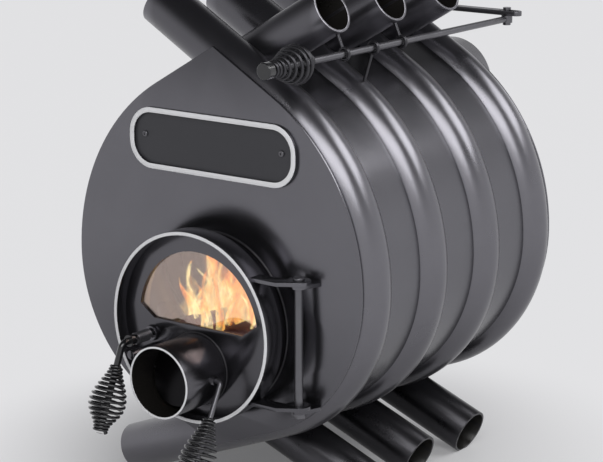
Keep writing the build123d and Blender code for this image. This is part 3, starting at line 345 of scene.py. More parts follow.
def use_group(tree, group, **values):
    """A group placed in a material, with these values on its inputs."""
    node = add_node(tree, "ShaderNodeGroup", node_tree=group)
    for key, value in values.items():
        node.inputs[key].default_value = value
    return node


def finish_steel(
    name, colour, metallic, roughness, amount=0.05, scale=12.0, bump=0.1, peel=900.0, **settings
):
    """A painted or bare steel with mottled tone and a fine grain."""
    material, tree, shader = open_material(name, colour, metallic, roughness, **settings)
    tone = use_group(tree, mottle, Color=(*colour, 1.0), Amount=amount, Scale=scale)
    skin = use_group(tree, grain, Scale=peel, Strength=bump, Roughness=roughness, Spread=ROUGHNESS_SPREAD)
    tree.links.new(tone.outputs["Color"], shader.inputs["Base Color"])
    tree.links.new(skin.outputs["Roughness"], shader.inputs["Roughness"])
    tree.links.new(skin.outputs["Normal"], shader.inputs["Normal"])
    return material, tree, shader, tone.outputs["Color"]


def marked_bore(tree):
    """One on the faces that are marked as the inside of a pipe."""
    return add_node(tree, "ShaderNodeAttribute", attribute_name="bore").outputs["Fac"]


def darken_inside(tree, shader, colour, metallic):
    """Cover what faces the fire with soot, and what is marked as a bore with soot and painted shade."""
    dark = math_node(tree, "MAXIMUM", use_group(tree, soot).outputs["Mask"], marked_bore(tree))
    tree.links.new(mix_colours(tree, dark, colour, SOOT_AND_SHADE), shader.inputs["Base Color"])
    tree.links.new(spread(tree, dark, 0.0, 1.0, metallic, 0.0), shader.inputs["Metallic"])


print("a steel has", ROUGHNESS_SPREAD, "spread in its roughness")

# %% [markdown]
# Painted shade: the paint is made darker high up near the middle, on the lower belly, and on the legs that
# stand behind the first, where the stove's own shade and its dark reflections fall. One darker paint for
# each would leave hard borders, so a few soft ranges over height, width and depth make one level, which the
# colour is multiplied by.

# %% Paint shade high up, on the belly and on the rear legs
HIGH_SHADE_FROM_TO = (0.44, 0.55)
HIGH_SHADE_TONE = 0.62
END_FROM_TO = (0.06, 0.11)
BELLY_FROM_TO = (0.10, 0.33)
BELLY_TONE = 0.64
FOOT_TONE = 0.86
LEG_FROM_TO = (0.05, 0.15)
LEG_TONE = 0.30
FIRST_LEG = (FRONT_FACE + 40 * MM, FRONT_FACE + 80 * MM)


def paint_shade(tree, colour, shade_from_to, shade_tone):
    """The colour with painted shade: darker high up near the middle, on the belly and on all but the first
    legs.
    """
    spot = split(tree, object_place(tree))
    # Painted shade high up near the middle, on the belly and on the legs behind the first.
    high_shade = spread(tree, spot["Z"], *shade_from_to, 1.0, shade_tone)
    end = spread(tree, math_node(tree, "ABSOLUTE", spot["X"]), *END_FROM_TO)
    belly = spread(tree, spot["Z"], *BELLY_FROM_TO, BELLY_TONE, 1.0)
    foot = spread(tree, spot["Z"], *LEG_FROM_TO, FOOT_TONE, 0.0)
    leg = spread(tree, spot["Z"], *LEG_FROM_TO, LEG_TONE, 1.0)
    first = spread(tree, spot["Y"], *FIRST_LEG, 1.0, 0.0)
    upper = math_node(tree, "MAXIMUM", high_shade, end)
    legs = math_node(tree, "MAXIMUM", leg, first)
    lower = math_node(tree, "MULTIPLY", legs, math_node(tree, "MAXIMUM", belly, foot))
    level = math_node(tree, "MULTIPLY", upper, lower)
    return mix_colours(tree, 1.0, colour, grey_of(tree, level), "MULTIPLY")


print("the paint keeps", HIGH_SHADE_TONE, "of its tone up high and", LEG_TONE, "on the rear legs")

# %% [markdown]
# Now the paints themselves. The tubes are a little paler and rougher than the plates, and the paler tone is
# painted light on the ribs. The door is darker, and the strips between the tubes get their painted shade
# sooner on the way up, because they lie in the shade of two ribs.

# %% Mix the paints
GRAPHITE = (0.165, 0.162, 0.178)
TUBE_LIT_TONE = (0.198, 0.194, 0.213)
COLLAR_SHADE_TONE = (0.055, 0.053, 0.060)
DOOR_TONE = (0.125, 0.122, 0.134)
DAMPER_SHADE_BLACK = (0.022, 0.021, 0.023)
PAINT_METAL = 0.94
PAINT_ROUGHNESS = 0.24
TUBE_ROUGHNESS = 0.29
STRIP_FROM_TO = (0.30, 0.48)
STRIP_TONE = 0.32


def painted_steel(name, colour, roughness=PAINT_ROUGHNESS, shade_from_to=HIGH_SHADE_FROM_TO, shade_tone=HIGH_SHADE_TONE):
    """The stove's paint: mottled, with painted shade high up and low down, and near black inside, as soot
    and painted shade.
    """
    material, tree, shader, toned = finish_steel(name, colour, PAINT_METAL, roughness)
    darken_inside(tree, shader, paint_shade(tree, toned, shade_from_to, shade_tone), PAINT_METAL)
    return material


graphite = painted_steel("graphite_paint", GRAPHITE)
# A paler copy of the same paint on the tubes, as painted light on the ribs.
tube_paint = painted_steel("tube_paint", TUBE_LIT_TONE, roughness=TUBE_ROUGHNESS)
# The collar sits in the deep gap behind the door's rim, so its near black paint is painted shade.
collar_shade = painted_steel("heat_darkened_paint", COLLAR_SHADE_TONE)
door_face = painted_steel("door_face_paint", DOOR_TONE)
strip_paint = painted_steel("strip_paint", GRAPHITE, shade_from_to=STRIP_FROM_TO, shade_tone=STRIP_TONE)
# The damper disc lies deep inside the air pipe, so its near black paint is painted shade.
damper_paint = painted_steel("damper_paint", DAMPER_SHADE_BLACK)
print("paints", len(bpy.data.materials))

# %% [markdown]
# The door's rim, the air pipe and the rim of the name plate have a pale front edge, where the
# paint is cut back. A ring of its own would leave a seam, so the colour changes on the edge of the
# piece itself, by how far it lies from the front.

# %% Give three rims a pale edge
PALE = (0.88, 0.88, 0.90)
EDGE_WIDTH = 0.8 * MM
BARE_METAL = 0.1


def pale_edge_finish(name, colour, front):
    """The paint with a pale edge at this front, and soot and painted shade in what is marked as a bore."""
    material, tree, shader, toned = finish_steel(name, colour, PAINT_METAL, PAINT_ROUGHNESS)
    edge = math_node(tree, "LESS_THAN", split(tree, object_place(tree))["Y"], front + EDGE_WIDTH)
    bore = marked_bore(tree)
    painted = mix_colours(tree, bore, toned, SOOT_AND_SHADE)
    tree.links.new(mix_colours(tree, edge, painted, PALE), shader.inputs["Base Color"])
    bare = math_node(tree, "MAXIMUM", edge, bore)
    tree.links.new(spread(tree, bare, 0.0, 1.0, PAINT_METAL, BARE_METAL), shader.inputs["Metallic"])
    return material


door_edge = pale_edge_finish("door_rim_paint", DOOR_TONE, rim_low.y)
inlet_edge = pale_edge_finish("air_inlet_paint", DOOR_TONE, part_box("air_inlet")[0].y)
name_edge = pale_edge_finish("name_rim_paint", GRAPHITE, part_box("name_plate_rim")[0].y)
print("pale edges", EDGE_WIDTH / MM, "mm wide")

# %% [markdown]
# Wire, screws and the parts near the fire are not in the paint. The latch's handle and the two
# grips in front are dipped in black enamel, which has a clear coat. Small steel parts are bare and
# mottled. The steel in the firebox is covered with scale, so it is rough and only half a metal.

# %% Finish the bare steels
def bare_steel(name, colour, metallic, roughness, **settings):
    """A steel with mottling and grain alone."""
    return finish_steel(name, colour, metallic, roughness, **settings)[0]


name_field = bare_steel("name_field_paint", (0.05, 0.05, 0.056), metallic=0.4, roughness=0.42)
black_wire = bare_steel(
    "black_enamel", (0.018, 0.018, 0.02), metallic=0.3, roughness=0.2, coat_weight=0.6, coat_roughness=0.12
)
plain_steel = bare_steel(
    "plain_steel", (0.15, 0.148, 0.16), metallic=0.85, roughness=0.32, amount=0.12, scale=40.0
)
dark_steel = bare_steel(
    "dark_steel", (0.06, 0.059, 0.065), metallic=0.85, roughness=0.30, amount=0.12, scale=40.0
)
fire_steel = bare_steel(
    "scaled_steel", (0.045, 0.038, 0.034), metallic=0.5, roughness=0.72,
    amount=0.3, scale=30.0, bump=0.6, peel=400.0,
)
print("finishes", len(bpy.data.materials))

# %% [markdown]
# The window is clear ceramic glass, which fire stains with a warm cast. The shader's own
# transmission makes it glass. A heat mirror is laid on such panes to keep the glow inside, so a
# high index of refraction and a warm tint give it the grey brown sheen of the room.

# %% Make the glass
GLASS_TINT = (0.95, 0.86, 0.80)
HEAT_MIRROR_IOR = 2.8
HEAT_MIRROR_TINT = (1.0, 0.80, 0.72, 1.0)

stove_glass, tree, shader = open_material(
    "stove_glass", GLASS_TINT, metallic=0.0, roughness=0.03,
    transmission_weight=1.0, ior=HEAT_MIRROR_IOR, coat_weight=0.3, coat_roughness=0.04,
)
shader.inputs["Specular Tint"].default_value = HEAT_MIRROR_TINT
stain = use_group(tree, mottle, Color=(*GLASS_TINT, 1.0), Amount=0.06, Scale=18.0)
tree.links.new(stain.outputs["Color"], shader.inputs["Base Color"])
print("glass with an index of refraction of", HEAT_MIRROR_IOR)

# %% [markdown]
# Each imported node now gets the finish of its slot. The pieces whose finish differs from their
# slot's, such as the rims with pale edges, are listed by name.

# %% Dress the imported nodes
TUBE_NUMBERS = range(1, 8)
slot_finish = {
    "stove_paint": graphite,
    "firebox_steel": fire_steel,
    "plain_steel": plain_steel,
    "black_enamel": black_wire,
    "stove_glass": stove_glass,
    "seal_rope": fire_steel,
    "bright_rim": name_edge,
    "name_field": name_field,
}
node_finish = {
    "door_rim": door_edge,
    "air_inlet": inlet_edge,
    "door_plate": door_face,
    "door_collar": collar_shade,
    "standing_eyelet": dark_steel,
    "hanging_eyelets": dark_steel,
    "rod_grip": dark_steel,
    "butterfly_disc": damper_paint,
}
for number in TUBE_NUMBERS:
    node_finish[f"infill_strip_{number}"] = strip_paint
    node_finish[f"convection_tube_{number}"] = tube_paint
for name, node in nodes.items():
    node.data.materials.clear()
    node.data.materials.append(node_finish.get(name, slot_finish[slots[name]]))
print("dressed", len(nodes), "nodes, faces", sum(len(node.data.polygons) for node in nodes.values()))

# %% [markdown]
# New pieces are modelled with operators, as by hand. An operator acts on all that is selected, so a helper
# deselects everything first. Another joins a finished piece to its body and its finish, with its place in
# its mesh and its object at the origin.

# %% Helpers for modelling
def select_only(*pieces):
    """Leave edit mode and select these pieces, the first of them active."""
    if bpy.context.mode != "OBJECT":
        bpy.ops.object.mode_set(mode="OBJECT")
    bpy.ops.object.select_all(action="DESELECT")
    for piece in pieces:
        piece.select_set(True)
    bpy.context.view_layer.objects.active = pieces[0]


def edit(piece):
    """Open a piece in edit mode, with all of it selected."""
    select_only(piece)
    bpy.ops.object.mode_set(mode="EDIT")
    bpy.ops.mesh.select_all(action="SELECT")


def join(name, pieces):
    """Several pieces made one."""
    select_only(*pieces)
    if len(pieces) > 1:
        bpy.ops.object.join()
    pieces[0].name = name
    return pieces[0]


def bevel_edges(piece, width, steps, angle):
    """Round the edges that turn by more than this angle."""
    bevel = piece.modifiers.new("rounded_edges", "BEVEL")
    bevel.width = width
    bevel.segments = steps
    bevel.limit_method = "ANGLE"
    bevel.angle_limit = radians(angle)
    bpy.ops.object.modifier_apply(modifier=bevel.name)


def settle(piece, name, finish, body, angle):
    """Put a piece's place into its mesh, smooth it, and give it its finish and body."""
    select_only(piece)
    bpy.ops.object.transform_apply(location=True, rotation=True, scale=True)
    bpy.ops.object.shade_smooth_by_angle(angle=radians(angle))
    piece.name = name
    piece.data.materials.clear()
    piece.data.materials.append(finish)
    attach(piece, body)
    return piece


print("helpers for modelling ready")

# %% [markdown]
# Sheet and tube have edges that catch the light, because a cutter and a brush never leave them
# sharp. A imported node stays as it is, so a copy is merged, its flat triangles are dissolved, and
# a Bevel modifier rounds the edges. The copy then stands for the node.

# %% Helpers that round a node and mark its bore
MERGE = 0.002 * MM
FLAT = 0.3
EDGE_ANGLE = 32
EDGE_STEPS = 2
OFF_FACE = 0.2


def copy_merged(node, ending):
    """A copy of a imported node, in edit mode, with its loose triangles merged."""
    piece = put_in_scene(node + ending, nodes[node].data.copy())
    select_only(piece)
    bpy.ops.mesh.customdata_custom_splitnormals_clear()
    edit(piece)
    bpy.ops.mesh.remove_doubles(threshold=MERGE)
    return piece


def round_edges(node, width):
    """A copy of a node with its sharp edges rounded, in place of the node."""
    source = nodes[node]
    piece = copy_merged(node, "_rounded")
    bpy.ops.mesh.dissolve_limited(angle_limit=radians(FLAT))
    select_only(piece)
    bevel_edges(piece, width * MM, EDGE_STEPS, EDGE_ANGLE)
    finish = source.data.materials[0]
    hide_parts(node)
    return settle(piece, node + "_rounded", finish, source["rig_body"], EDGE_ANGLE)


def mark_bore(piece, bore):
    """Mark the faces whose normal meets the far wall of a bore this wide, where soot and painted shade go.
    """
    mesh = piece.data
    corners = [vertex.co for vertex in mesh.vertices]
    tree = BVHTree.FromPolygons(corners, [list(face.vertices) for face in mesh.polygons])
    marks = mesh.color_attributes.new("bore", "FLOAT_COLOR", "CORNER")
    count = 0
    for face in mesh.polygons:
        start = face.center + face.normal * OFF_FACE * MM
        inside = tree.ray_cast(start, face.normal, bore * MM)[0] is not None
        count += inside
        for corner in face.loop_indices:
            marks.data[corner].color = (inside, inside, inside, 1.0)
    return count


print("edges over", EDGE_ANGLE, "degrees get", EDGE_STEPS, "steps")

# %% [markdown]
# Each piece gets an edge of its own width, in millimetres: a thick plate has more than a thin tube.
# The insides of the pipes are marked, because their soot and painted shade can't be told from the painted
# outside by place alone.

# %% Round the edges of the plates, tubes and forgings
edge_widths = {
    "front_plate": 0.8,
    "rear_plate": 0.8,
    "door_collar": 0.7,
    "flue_spigot": 0.6,
    "door_rim": 0.7,
    "air_inlet": 0.45,
    "door_straps": 0.6,
    "hinge_lugs": 0.6,
    "hinge_nut": 0.5,
    "lever_nut": 0.5,
    "damper_lever": 0.6,
    "damper_bush": 0.6,
    "latch_bush": 0.5,
    "latch_stop": 0.8,
    "latch_keeper": 0.5,
    "latch_cam": 0.5,
    "name_plate_rim": 0.6,
    "door_plate": 0.4,
}
bores = {"flue_spigot": 122, "air_inlet": 92, "door_collar": 212}
for number in TUBE_NUMBERS:
    edge_widths[f"convection_tube_{number}"] = 0.35
    bores[f"convection_tube_{number}"] = 60
for node, width in edge_widths.items():
    piece = round_edges(node, width)
    marked = mark_bore(piece, bores[node]) if node in bores else 0
    print("rounded", node, "faces", len(piece.data.polygons), "in a bore", marked)

# %% [markdown]
# The name plate is held by two small screws with a hexagon socket. A head could be turned from a
# profile, but a cylinder is quicker: its rim is bevelled, and a six-sided cutter takes the socket
# out of it.

# %% Model the socket screws
HEAD_HEIGHT = 2.0 * MM
HEAD_SIDES = 40
SOCKET_SIDES = 6
SOCKET_SHARE = 0.5
RIM_SHARE = 0.35


def socket_screw(place, radius, height):
    """A screw head that stands on this place, with its top to the front."""
    turned = (radians(90), 0, 0)
    bpy.ops.object.select_all(action="DESELECT")
    middle = Vector(place) + Vector((0, -height / 2, 0))
    bpy.ops.mesh.primitive_cylinder_add(
        vertices=HEAD_SIDES, radius=radius, depth=height, location=middle, rotation=turned
    )
    head = bpy.context.object
    bevel_edges(head, height * RIM_SHARE, 3, 60)
    top = Vector(place) + Vector((0, -height, 0))
    bpy.ops.mesh.primitive_cylinder_add(
        vertices=SOCKET_SIDES, radius=radius * SOCKET_SHARE, depth=height, location=top, rotation=turned
    )
    cutter = bpy.context.object
    select_only(head)
    socket = head.modifiers.new("socket", "BOOLEAN")
    socket.object = cutter
    socket.operation = "DIFFERENCE"
    bpy.ops.object.modifier_apply(modifier=socket.name)
    bpy.data.objects.remove(cutter, do_unlink=True)
    return head


def screws_for(node, finish):
    """A pair of screw heads in place of this node."""
    low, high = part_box(node)
    radius = (high.z - low.z) / 2
    middle = (low.z + high.z) / 2
    heads = [
        socket_screw((across, low.y + HEAD_HEIGHT, middle), radius, HEAD_HEIGHT)
        for across in (low.x + radius, high.x - radius)
    ]
    piece = join(node + "_heads", heads)
    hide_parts(node)
    return settle(piece, node + "_heads", finish, nodes[node]["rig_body"], 30)


name_screws = screws_for("name_plate_screws", plain_steel)
print("name plate screws", len(name_screws.data.polygons), "faces")

# %% [markdown]
# Hands stay cool on a grip of wound wire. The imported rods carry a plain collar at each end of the
# grip. Wire wound over it would sink in, so the collar is taken off a copy of the rod, and the
# rod is bridged there.

# %% Helper that takes the collars off a rod
STANDS_OUT = 1.15


def bare_rod(node, corner, axis, rod_radius, span, finish):
    """A copy of the rod without what stands out from it between these two places along it."""
    source = nodes[node]
    rod = copy_merged(node, "_rod")
    select_only(rod)
    mesh = rod.data
    shape = bmesh.new()
    shape.from_mesh(mesh)

    def stands_out(vertex):
        along = (vertex.co - corner).dot(axis)
        off = (vertex.co - corner - axis * along).length
        return span[0] * MM < along < span[1] * MM and off > rod_radius * MM * STANDS_OUT

    collars = [vertex for vertex in shape.verts if stands_out(vertex)]
    bmesh.ops.delete(shape, geom=collars, context="VERTS")
    rims = {}
    for edge in shape.edges:
        if edge.is_boundary:
            along = round((edge.verts[0].co - corner).dot(axis) / MM, 1)
            rims.setdefault(along, []).append(edge)
    order = sorted(rims)
    bmesh.ops.bridge_loops(shape, edges=rims[order[0]] + rims[order[1]])
    if len(order) > 2:
        bmesh.ops.holes_fill(shape, edges=rims[order[2]])
    bmesh.ops.recalc_face_normals(shape, faces=shape.faces)
    shape.to_mesh(mesh)
    shape.free()
    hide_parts(node)
    settle(rod, node + "_rod", finish, source["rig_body"], 40)
    print(node, "rims at", order, "faces", len(mesh.polygons))
    return rod


print("a collar stands out by more than", STANDS_OUT, "times the rod")

# %% [markdown]
# Each handle is a line: the corner where its rod bends, the way it goes from there, and the neck
# and room of its grip, in millimetres. The latch hangs a little aslant and leans forward, the air
# handle leans forward, and the control rod is straight, with its grip at the front.

# %% Take the collars off the rods
LATCH_CORNER = at(-69, -84, -77)
LATCH_TILT = radians(5)
LATCH_LEAN = radians(18)
LATCH_DOWN = Vector(
    (-sin(LATCH_TILT) * cos(LATCH_LEAN), -sin(LATCH_LEAN), -cos(LATCH_TILT) * cos(LATCH_LEAN))
)
LATCH_NECK = 25
LATCH_ROOM = 82.05
AIR_CORNER = at(54, -57, -107)
AIR_LEAN = radians(28.5)
AIR_DOWN = Vector((0, -sin(AIR_LEAN), -cos(AIR_LEAN)))
AIR_NECK = 42
AIR_ROOM = 98.7
ROD_AXIS = Vector((0, 1, 0))
cap_low, cap_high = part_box("rod_cap")
ROD_START = Vector(((cap_low.x + cap_high.x) / 2, cap_high.y, (cap_low.z + cap_high.z) / 2))
ROD_ROOM = (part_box("rod_grip")[1].y - cap_high.y) / MM

latch_span = (LATCH_NECK - 1, LATCH_NECK + LATCH_ROOM + 1)
air_span = (AIR_NECK - 1, AIR_NECK + AIR_ROOM + 1)
rod_span = (ROD_ROOM - 6, ROD_ROOM + 8)
bare_rod("latch_handle", LATCH_CORNER, LATCH_DOWN, 4.0, latch_span, black_wire)
bare_rod("air_handle", AIR_CORNER, AIR_DOWN, 3.0, air_span, plain_steel)
bare_rod("control_rod", ROD_START, ROD_AXIS, 4.0, rod_span, plain_steel)

# %% [markdown]
# The first turns of the wire lie close round the rod, and the middle turns swell out, which
# leaves air between the wire and the rod. A Screw modifier winds only even turns, so the wire is
# one open curve with a round bevel. A formula gives the radius of each turn, a bell that
# leans to the far end and falls off faster there, and the climb, which is small at both ends. The
# first end is drawn in until it touches the rod, and the far end stays blunt.

# %% Helpers that wind a wire
WIRE_R = 1.75
STEPS_PER_TURN = 28
WIND_EASE = 0.30
WIND_FALL = 1.6
WIND_BLUNT = 1.3
TUCK_TURNS = 0.5


def sweep(name, places, radius, resolution, closed=False):
    """A round wire through these places, made a mesh."""
    curve = bpy.data.curves.new(name, "CURVE")
    curve.dimensions = "3D"
    curve.bevel_depth = radius
    curve.bevel_resolution = resolution
    curve.use_fill_caps = not closed
    spline = curve.splines.new("POLY")
    spline.points.add(len(places) - 1)
    spline.use_cyclic_u = closed
    for point, place in zip(spline.points, places):
        point.co = (*place, 1.0)
    select_only(put_in_scene(name, curve))
    bpy.ops.object.convert(target="MESH")
    return bpy.context.object


def wind_grip(node, corner, axis, side, start, length, finish, *, turns, end_r, swell_r, tuck_r, lean):
    """Wire wound round this axis, from this far along it, with its sizes in millimetres."""
    other = axis.cross(side)
    steps = turns * STEPS_PER_TURN
    places = []
    for step in range(steps + 1):
        share = step / steps
        bell = sin(pi * share**lean) ** 2
        if share**lean > 0.5:
            bell **= WIND_FALL
        radius = end_r + (swell_r - end_r) * bell + WIND_BLUNT * share
        tuck = max(0.0, 1 - share * turns / TUCK_TURNS)
        radius += (tuck_r - radius) * tuck
        climb = start + length * (share - WIND_EASE * sin(tau * share) / tau)
        turn = tau * turns * share
        out = side * cos(turn) + other * sin(turn)
        places.append(corner + axis * (climb * MM) + out * (radius * MM))
    wire = sweep(node + "_wire", places, WIRE_R * MM, 3)
    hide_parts(node)
    settle(wire, node + "_wire", finish, nodes[node]["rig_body"], 60)
    print(node, "wire faces", len(wire.data.polygons))
    return wire


print("wire", 2 * WIRE_R, "mm thick")

# %% Wind the wire of the three grips
sideways = Vector((1, 0, 0))
latch_side = LATCH_DOWN.cross(Vector((0, 1, 0))).normalized()
wind_grip(
    "latch_grip", LATCH_CORNER, LATCH_DOWN, latch_side, LATCH_NECK + 2, LATCH_ROOM - 4, black_wire,
    turns=16, end_r=6.2, swell_r=19.8, tuck_r=5.6, lean=1.16,
)
wind_grip(
    "air_grip", AIR_CORNER, AIR_DOWN, sideways, AIR_NECK + 2, AIR_ROOM - 4, black_wire,
    turns=18, end_r=6.3, swell_r=19.8, tuck_r=4.7, lean=1.16,
)
wind_grip(
    "rod_grip", ROD_START, ROD_AXIS, sideways, 1.8, ROD_ROOM - 3.6, dark_steel,
    turns=12, end_r=8.0, swell_r=20.3, tuck_r=7.0, lean=1.5,
)

# %% [markdown]
# A heat-proof rope seals the door against its collar. It is a flat braid of four strands, which
# wind round each other along a ring. A bump on a plain ring would look painted when the door
# stands open, so each strand is a closed curve with a round bevel, made a mesh.

# %% Wind the seal rope
rope_low, rope_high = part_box("seal_rope")
seal_low, seal_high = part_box("seal_ring")
ROPE_OUTER = (rope_high.x - rope_low.x) / 2
ROPE_INNER = (seal_high.x - seal_low.x) / 2
ROPE_RING = (ROPE_OUTER + ROPE_INNER) / 2
ROPE_STRANDS = 4
ROPE_WINDS = 46
ROPE_STEPS = 10 * ROPE_WINDS
STRAND_R = 1.5 * MM
STRAND_GAP = 0.2 * MM
STRAND_WIDE = (ROPE_OUTER - ROPE_INNER) / 2 - STRAND_R - STRAND_GAP
STRAND_DEEP = (rope_high.y - rope_low.y) / 2 - STRAND_R
rope_middle = (rope_low + rope_high) / 2


def strand_place(strand, step):
    """A place on one strand, which winds round the middle of the rope."""
    turn = tau * step / ROPE_STEPS
    wind = ROPE_WINDS * turn + tau * strand / ROPE_STRANDS
    radius = ROPE_RING + STRAND_WIDE * cos(wind)
    return rope_middle + Vector((radius * cos(turn), STRAND_DEEP * sin(2 * wind), radius * sin(turn)))


strands = []
for strand in range(ROPE_STRANDS):
    places = [strand_place(strand, step) for step in range(ROPE_STEPS)]
    strands.append(sweep("rope_strand", places, STRAND_R, 2, closed=True))
print("strands", len(strands))

# %% [markdown]
# Glass fibre goes grey near a fire and stays matt. A fine noise gives the fibres their two greys
# and a shallow bump, and a little sheen stands for the loose ends.

# %% Finish the rope
FIBRE_DARK = (0.05, 0.048, 0.046)
FIBRE_PALE = (0.19, 0.185, 0.18)
FIBRE_SCALE = 1600.0
FIBRE_DEPTH = 0.4 * MM

rope_finish, tree, shader = open_material("woven_rope", (0.10, 0.098, 0.095), 0.0, 0.9, sheen_weight=0.2)
fibres = noise_at(tree, object_place(tree), FIBRE_SCALE, 2.0, 0.5)
tree.links.new(mix_colours(tree, fibres, FIBRE_DARK, FIBRE_PALE), shader.inputs["Base Color"])
tree.links.new(bump_from(tree, fibres, FIBRE_DEPTH, 0.6), shader.inputs["Normal"])
rope = join("seal_rope_braid", strands)
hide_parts("seal_rope")
settle(rope, "seal_rope_braid", rope_finish, "door", 60)
print("rope faces", len(rope.data.polygons))

# %% [markdown]
# Weld beads join the round pieces to their plates. A bead is a row of overlapping puddles, so a
# torus is made at the right size and its small radius swells and shrinks along the ring.

# %% Helper that lays a weld bead
PUDDLE_LENGTH = 1.6
PUDDLE_STEPS = 6
BEAD_SIDES = 10
RIPPLE = 0.18
weld_finish = bare_steel(
    "weld_bead", (0.07, 0.068, 0.074), metallic=0.9, roughness=0.45, amount=0.2, scale=160.0, bump=0.4
)


def weld_ring(name, place, radius, bead, body, seed):
    """A bead round a pipe whose axis runs from front to back."""
    bpy.ops.object.select_all(action="DESELECT")
    puddles = round(tau * radius / (PUDDLE_LENGTH * bead))
    bpy.ops.mesh.primitive_torus_add(
        major_segments=PUDDLE_STEPS * puddles, minor_segments=BEAD_SIDES,
        major_radius=radius, minor_radius=bead, location=(0, 0, 0),
    )
    ring = bpy.context.object
    chance = Random(seed)
    swells = [chance.uniform(0.85, 1.15) for _ in range(puddles)]
    for vertex in ring.data.vertices:
        around = (vertex.co.to_2d().angle_signed(Vector((1, 0))) % tau) / tau * puddles
        ripple = 1 - RIPPLE + RIPPLE * abs(sin(pi * around)) * swells[int(around) % puddles]
        rim = vertex.co.to_2d().normalized() * radius
        spot = Vector((rim.x, rim.y, 0))
        vertex.co = spot + (vertex.co - spot) * ripple
    ring.rotation_euler = (radians(90), 0, 0)
    ring.location = place
    return settle(ring, name, weld_finish, body, 60)


print("a bead has a puddle every", PUDDLE_LENGTH, "of its radius")

# %% Lay the weld beads
spigot_low, spigot_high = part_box("flue_spigot")
collar_low, collar_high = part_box("door_collar")
FLUE_RADIUS = (spigot_high.x - spigot_low.x) / 2
COLLAR_RADIUS = (collar_high.x - collar_low.x) / 2
INLET_RADIUS = 42 * MM
INLET_DROP = 51 * MM
flue_foot = (0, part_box("rear_plate")[1].y, (spigot_low.z + spigot_high.z) / 2)
collar_foot = (0, FRONT_FACE, DOOR_MIDDLE.z)
inlet_foot = (0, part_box("door_plate")[0].y, DOOR_MIDDLE.z - INLET_DROP)

beads = [
    weld_ring("flue_weld", flue_foot, FLUE_RADIUS + 1.0 * MM, 2.4 * MM, "stove", seed=1),
    weld_ring("collar_weld", collar_foot, COLLAR_RADIUS + 0.6 * MM, 1.6 * MM, "stove", seed=2),
    weld_ring("inlet_weld", inlet_foot, INLET_RADIUS + 0.4 * MM, 1.1 * MM, "door", seed=3),
]
print("weld beads", len(beads), "faces", [len(bead.data.polygons) for bead in beads])

# %% [markdown]
# Behind the glass a fire burns on three logs, two side by side and one across them. A log could
# be a plain cylinder with a bump, but its outline shows against the flames. So it starts as a
# circle that is extruded ring by ring, and its bark is pushed in and out by noise.

# %% Helper that models a log
LOG_SIDES = 40
ROUND_SCALE = 2.2
RIDGES_ROUND = 2.4
RIDGES_ALONG = 9.0
RIDGE_DEPTH = 0.10
LUMPS_ALONG = 16.0
LUMPS_ROUND = 0.7
LUMP_DEPTH = 0.16
END_LENGTH = 6 * MM
END_DEPTH = 0.10


def make_log(start, end, radius, rings=22, seed=0.0):
    """A log from one place to another, with ridges of bark and ends that are drawn in a little."""
    axis = (end - start).normalized()
    turn = axis.to_track_quat("Z", "Y")
    bpy.ops.object.select_all(action="DESELECT")
    bpy.ops.mesh.primitive_circle_add(
        vertices=LOG_SIDES, radius=radius, fill_type="NGON", location=start, rotation=turn.to_euler()
    )
    log = bpy.context.object
    bpy.ops.object.transform_apply(location=True, rotation=True, scale=True)
    edit(log)
    step = (end - start) / rings
    for _ in range(rings):
        bpy.ops.mesh.extrude_region_move(TRANSFORM_OT_translate={"value": step})
    bpy.ops.mesh.select_all(action="SELECT")
    bpy.ops.mesh.normals_make_consistent(inside=False)
    select_only(log)
    length = (end - start).length
    for vertex in log.data.vertices:
        along = (vertex.co - start).dot(axis)
        middle = start + axis * along
        out = vertex.co - middle
        if out.length < 1e-6:
            continue
        around = out.normalized() * ROUND_SCALE
        ridge = noise.noise(around * RIDGES_ROUND + axis * (along * RIDGES_ALONG + seed)) * RIDGE_DEPTH
        lump_at = middle * LUMPS_ALONG + around * LUMPS_ROUND + Vector((seed, seed, seed))
        lump = noise.noise(lump_at) * LUMP_DEPTH
        drawn_in = 1.0 - END_DEPTH * max(0.0, 1.0 - min(along, length - along) / END_LENGTH)
        vertex.co = middle + out * (1.0 + ridge + lump) * drawn_in
    return log


print("a log has", LOG_SIDES, "sides")

# %% [markdown]
# Burning bark is nearly black, and glows where it has cracked. The cracks are the borders of
# Voronoi cells. They glow only where a slower noise is high, so the fire has not reached all of
# the log.

# %% Lay the logs
CHAR_SCALE = 45.0
CRACK_SCALE = 95.0
CRACK_WIDTH = 0.07
BARK_DEPTH = 2 * MM

bark, tree, shader = open_material("burning_log", (0.05, 0.03, 0.02), 0.0, 0.9)
place = object_place(tree)
cracks = add_node(tree, "ShaderNodeTexVoronoi", feature="DISTANCE_TO_EDGE")
cracks.inputs["Scale"].default_value = CRACK_SCALE
tree.links.new(place, cracks.inputs["Vector"])
char = noise_at(tree, place, CHAR_SCALE, 5.0)
charred = mix_colours(tree, char, (0.010, 0.005, 0.004), (0.13, 0.03, 0.012))
tree.links.new(charred, shader.inputs["Base Color"])
cracked = spread(tree, cracks.outputs["Distance"], 0.0, CRACK_WIDTH, 1.0, 0.0)
glow = math_node(tree, "MULTIPLY", cracked, spread(tree, char, 0.50, 0.70))
glowing = mix_colours(tree, glow, (0.030, 0.004, 0.001), (0.9, 0.16, 0.02))
tree.links.new(glowing, shader.inputs["Emission Color"])
shader.inputs["Emission Strength"].default_value = 1.0
tree.links.new(bump_from(tree, char, BARK_DEPTH), shader.inputs["Normal"])

logs = [
    make_log(at(16, 22, -96), at(30, 300, -104), 30 * MM, seed=1.0),
    make_log(at(-64, 30, -100), at(-50, 315, -108), 27 * MM, seed=4.0),
    make_log(at(-92, 128, -52), at(62, 168, -46), 24 * MM, rings=16, seed=8.0),
]
log_pile = settle(join("logs", logs), "logs", bark, "stove", 50)
print("log faces", len(log_pile.data.polygons))

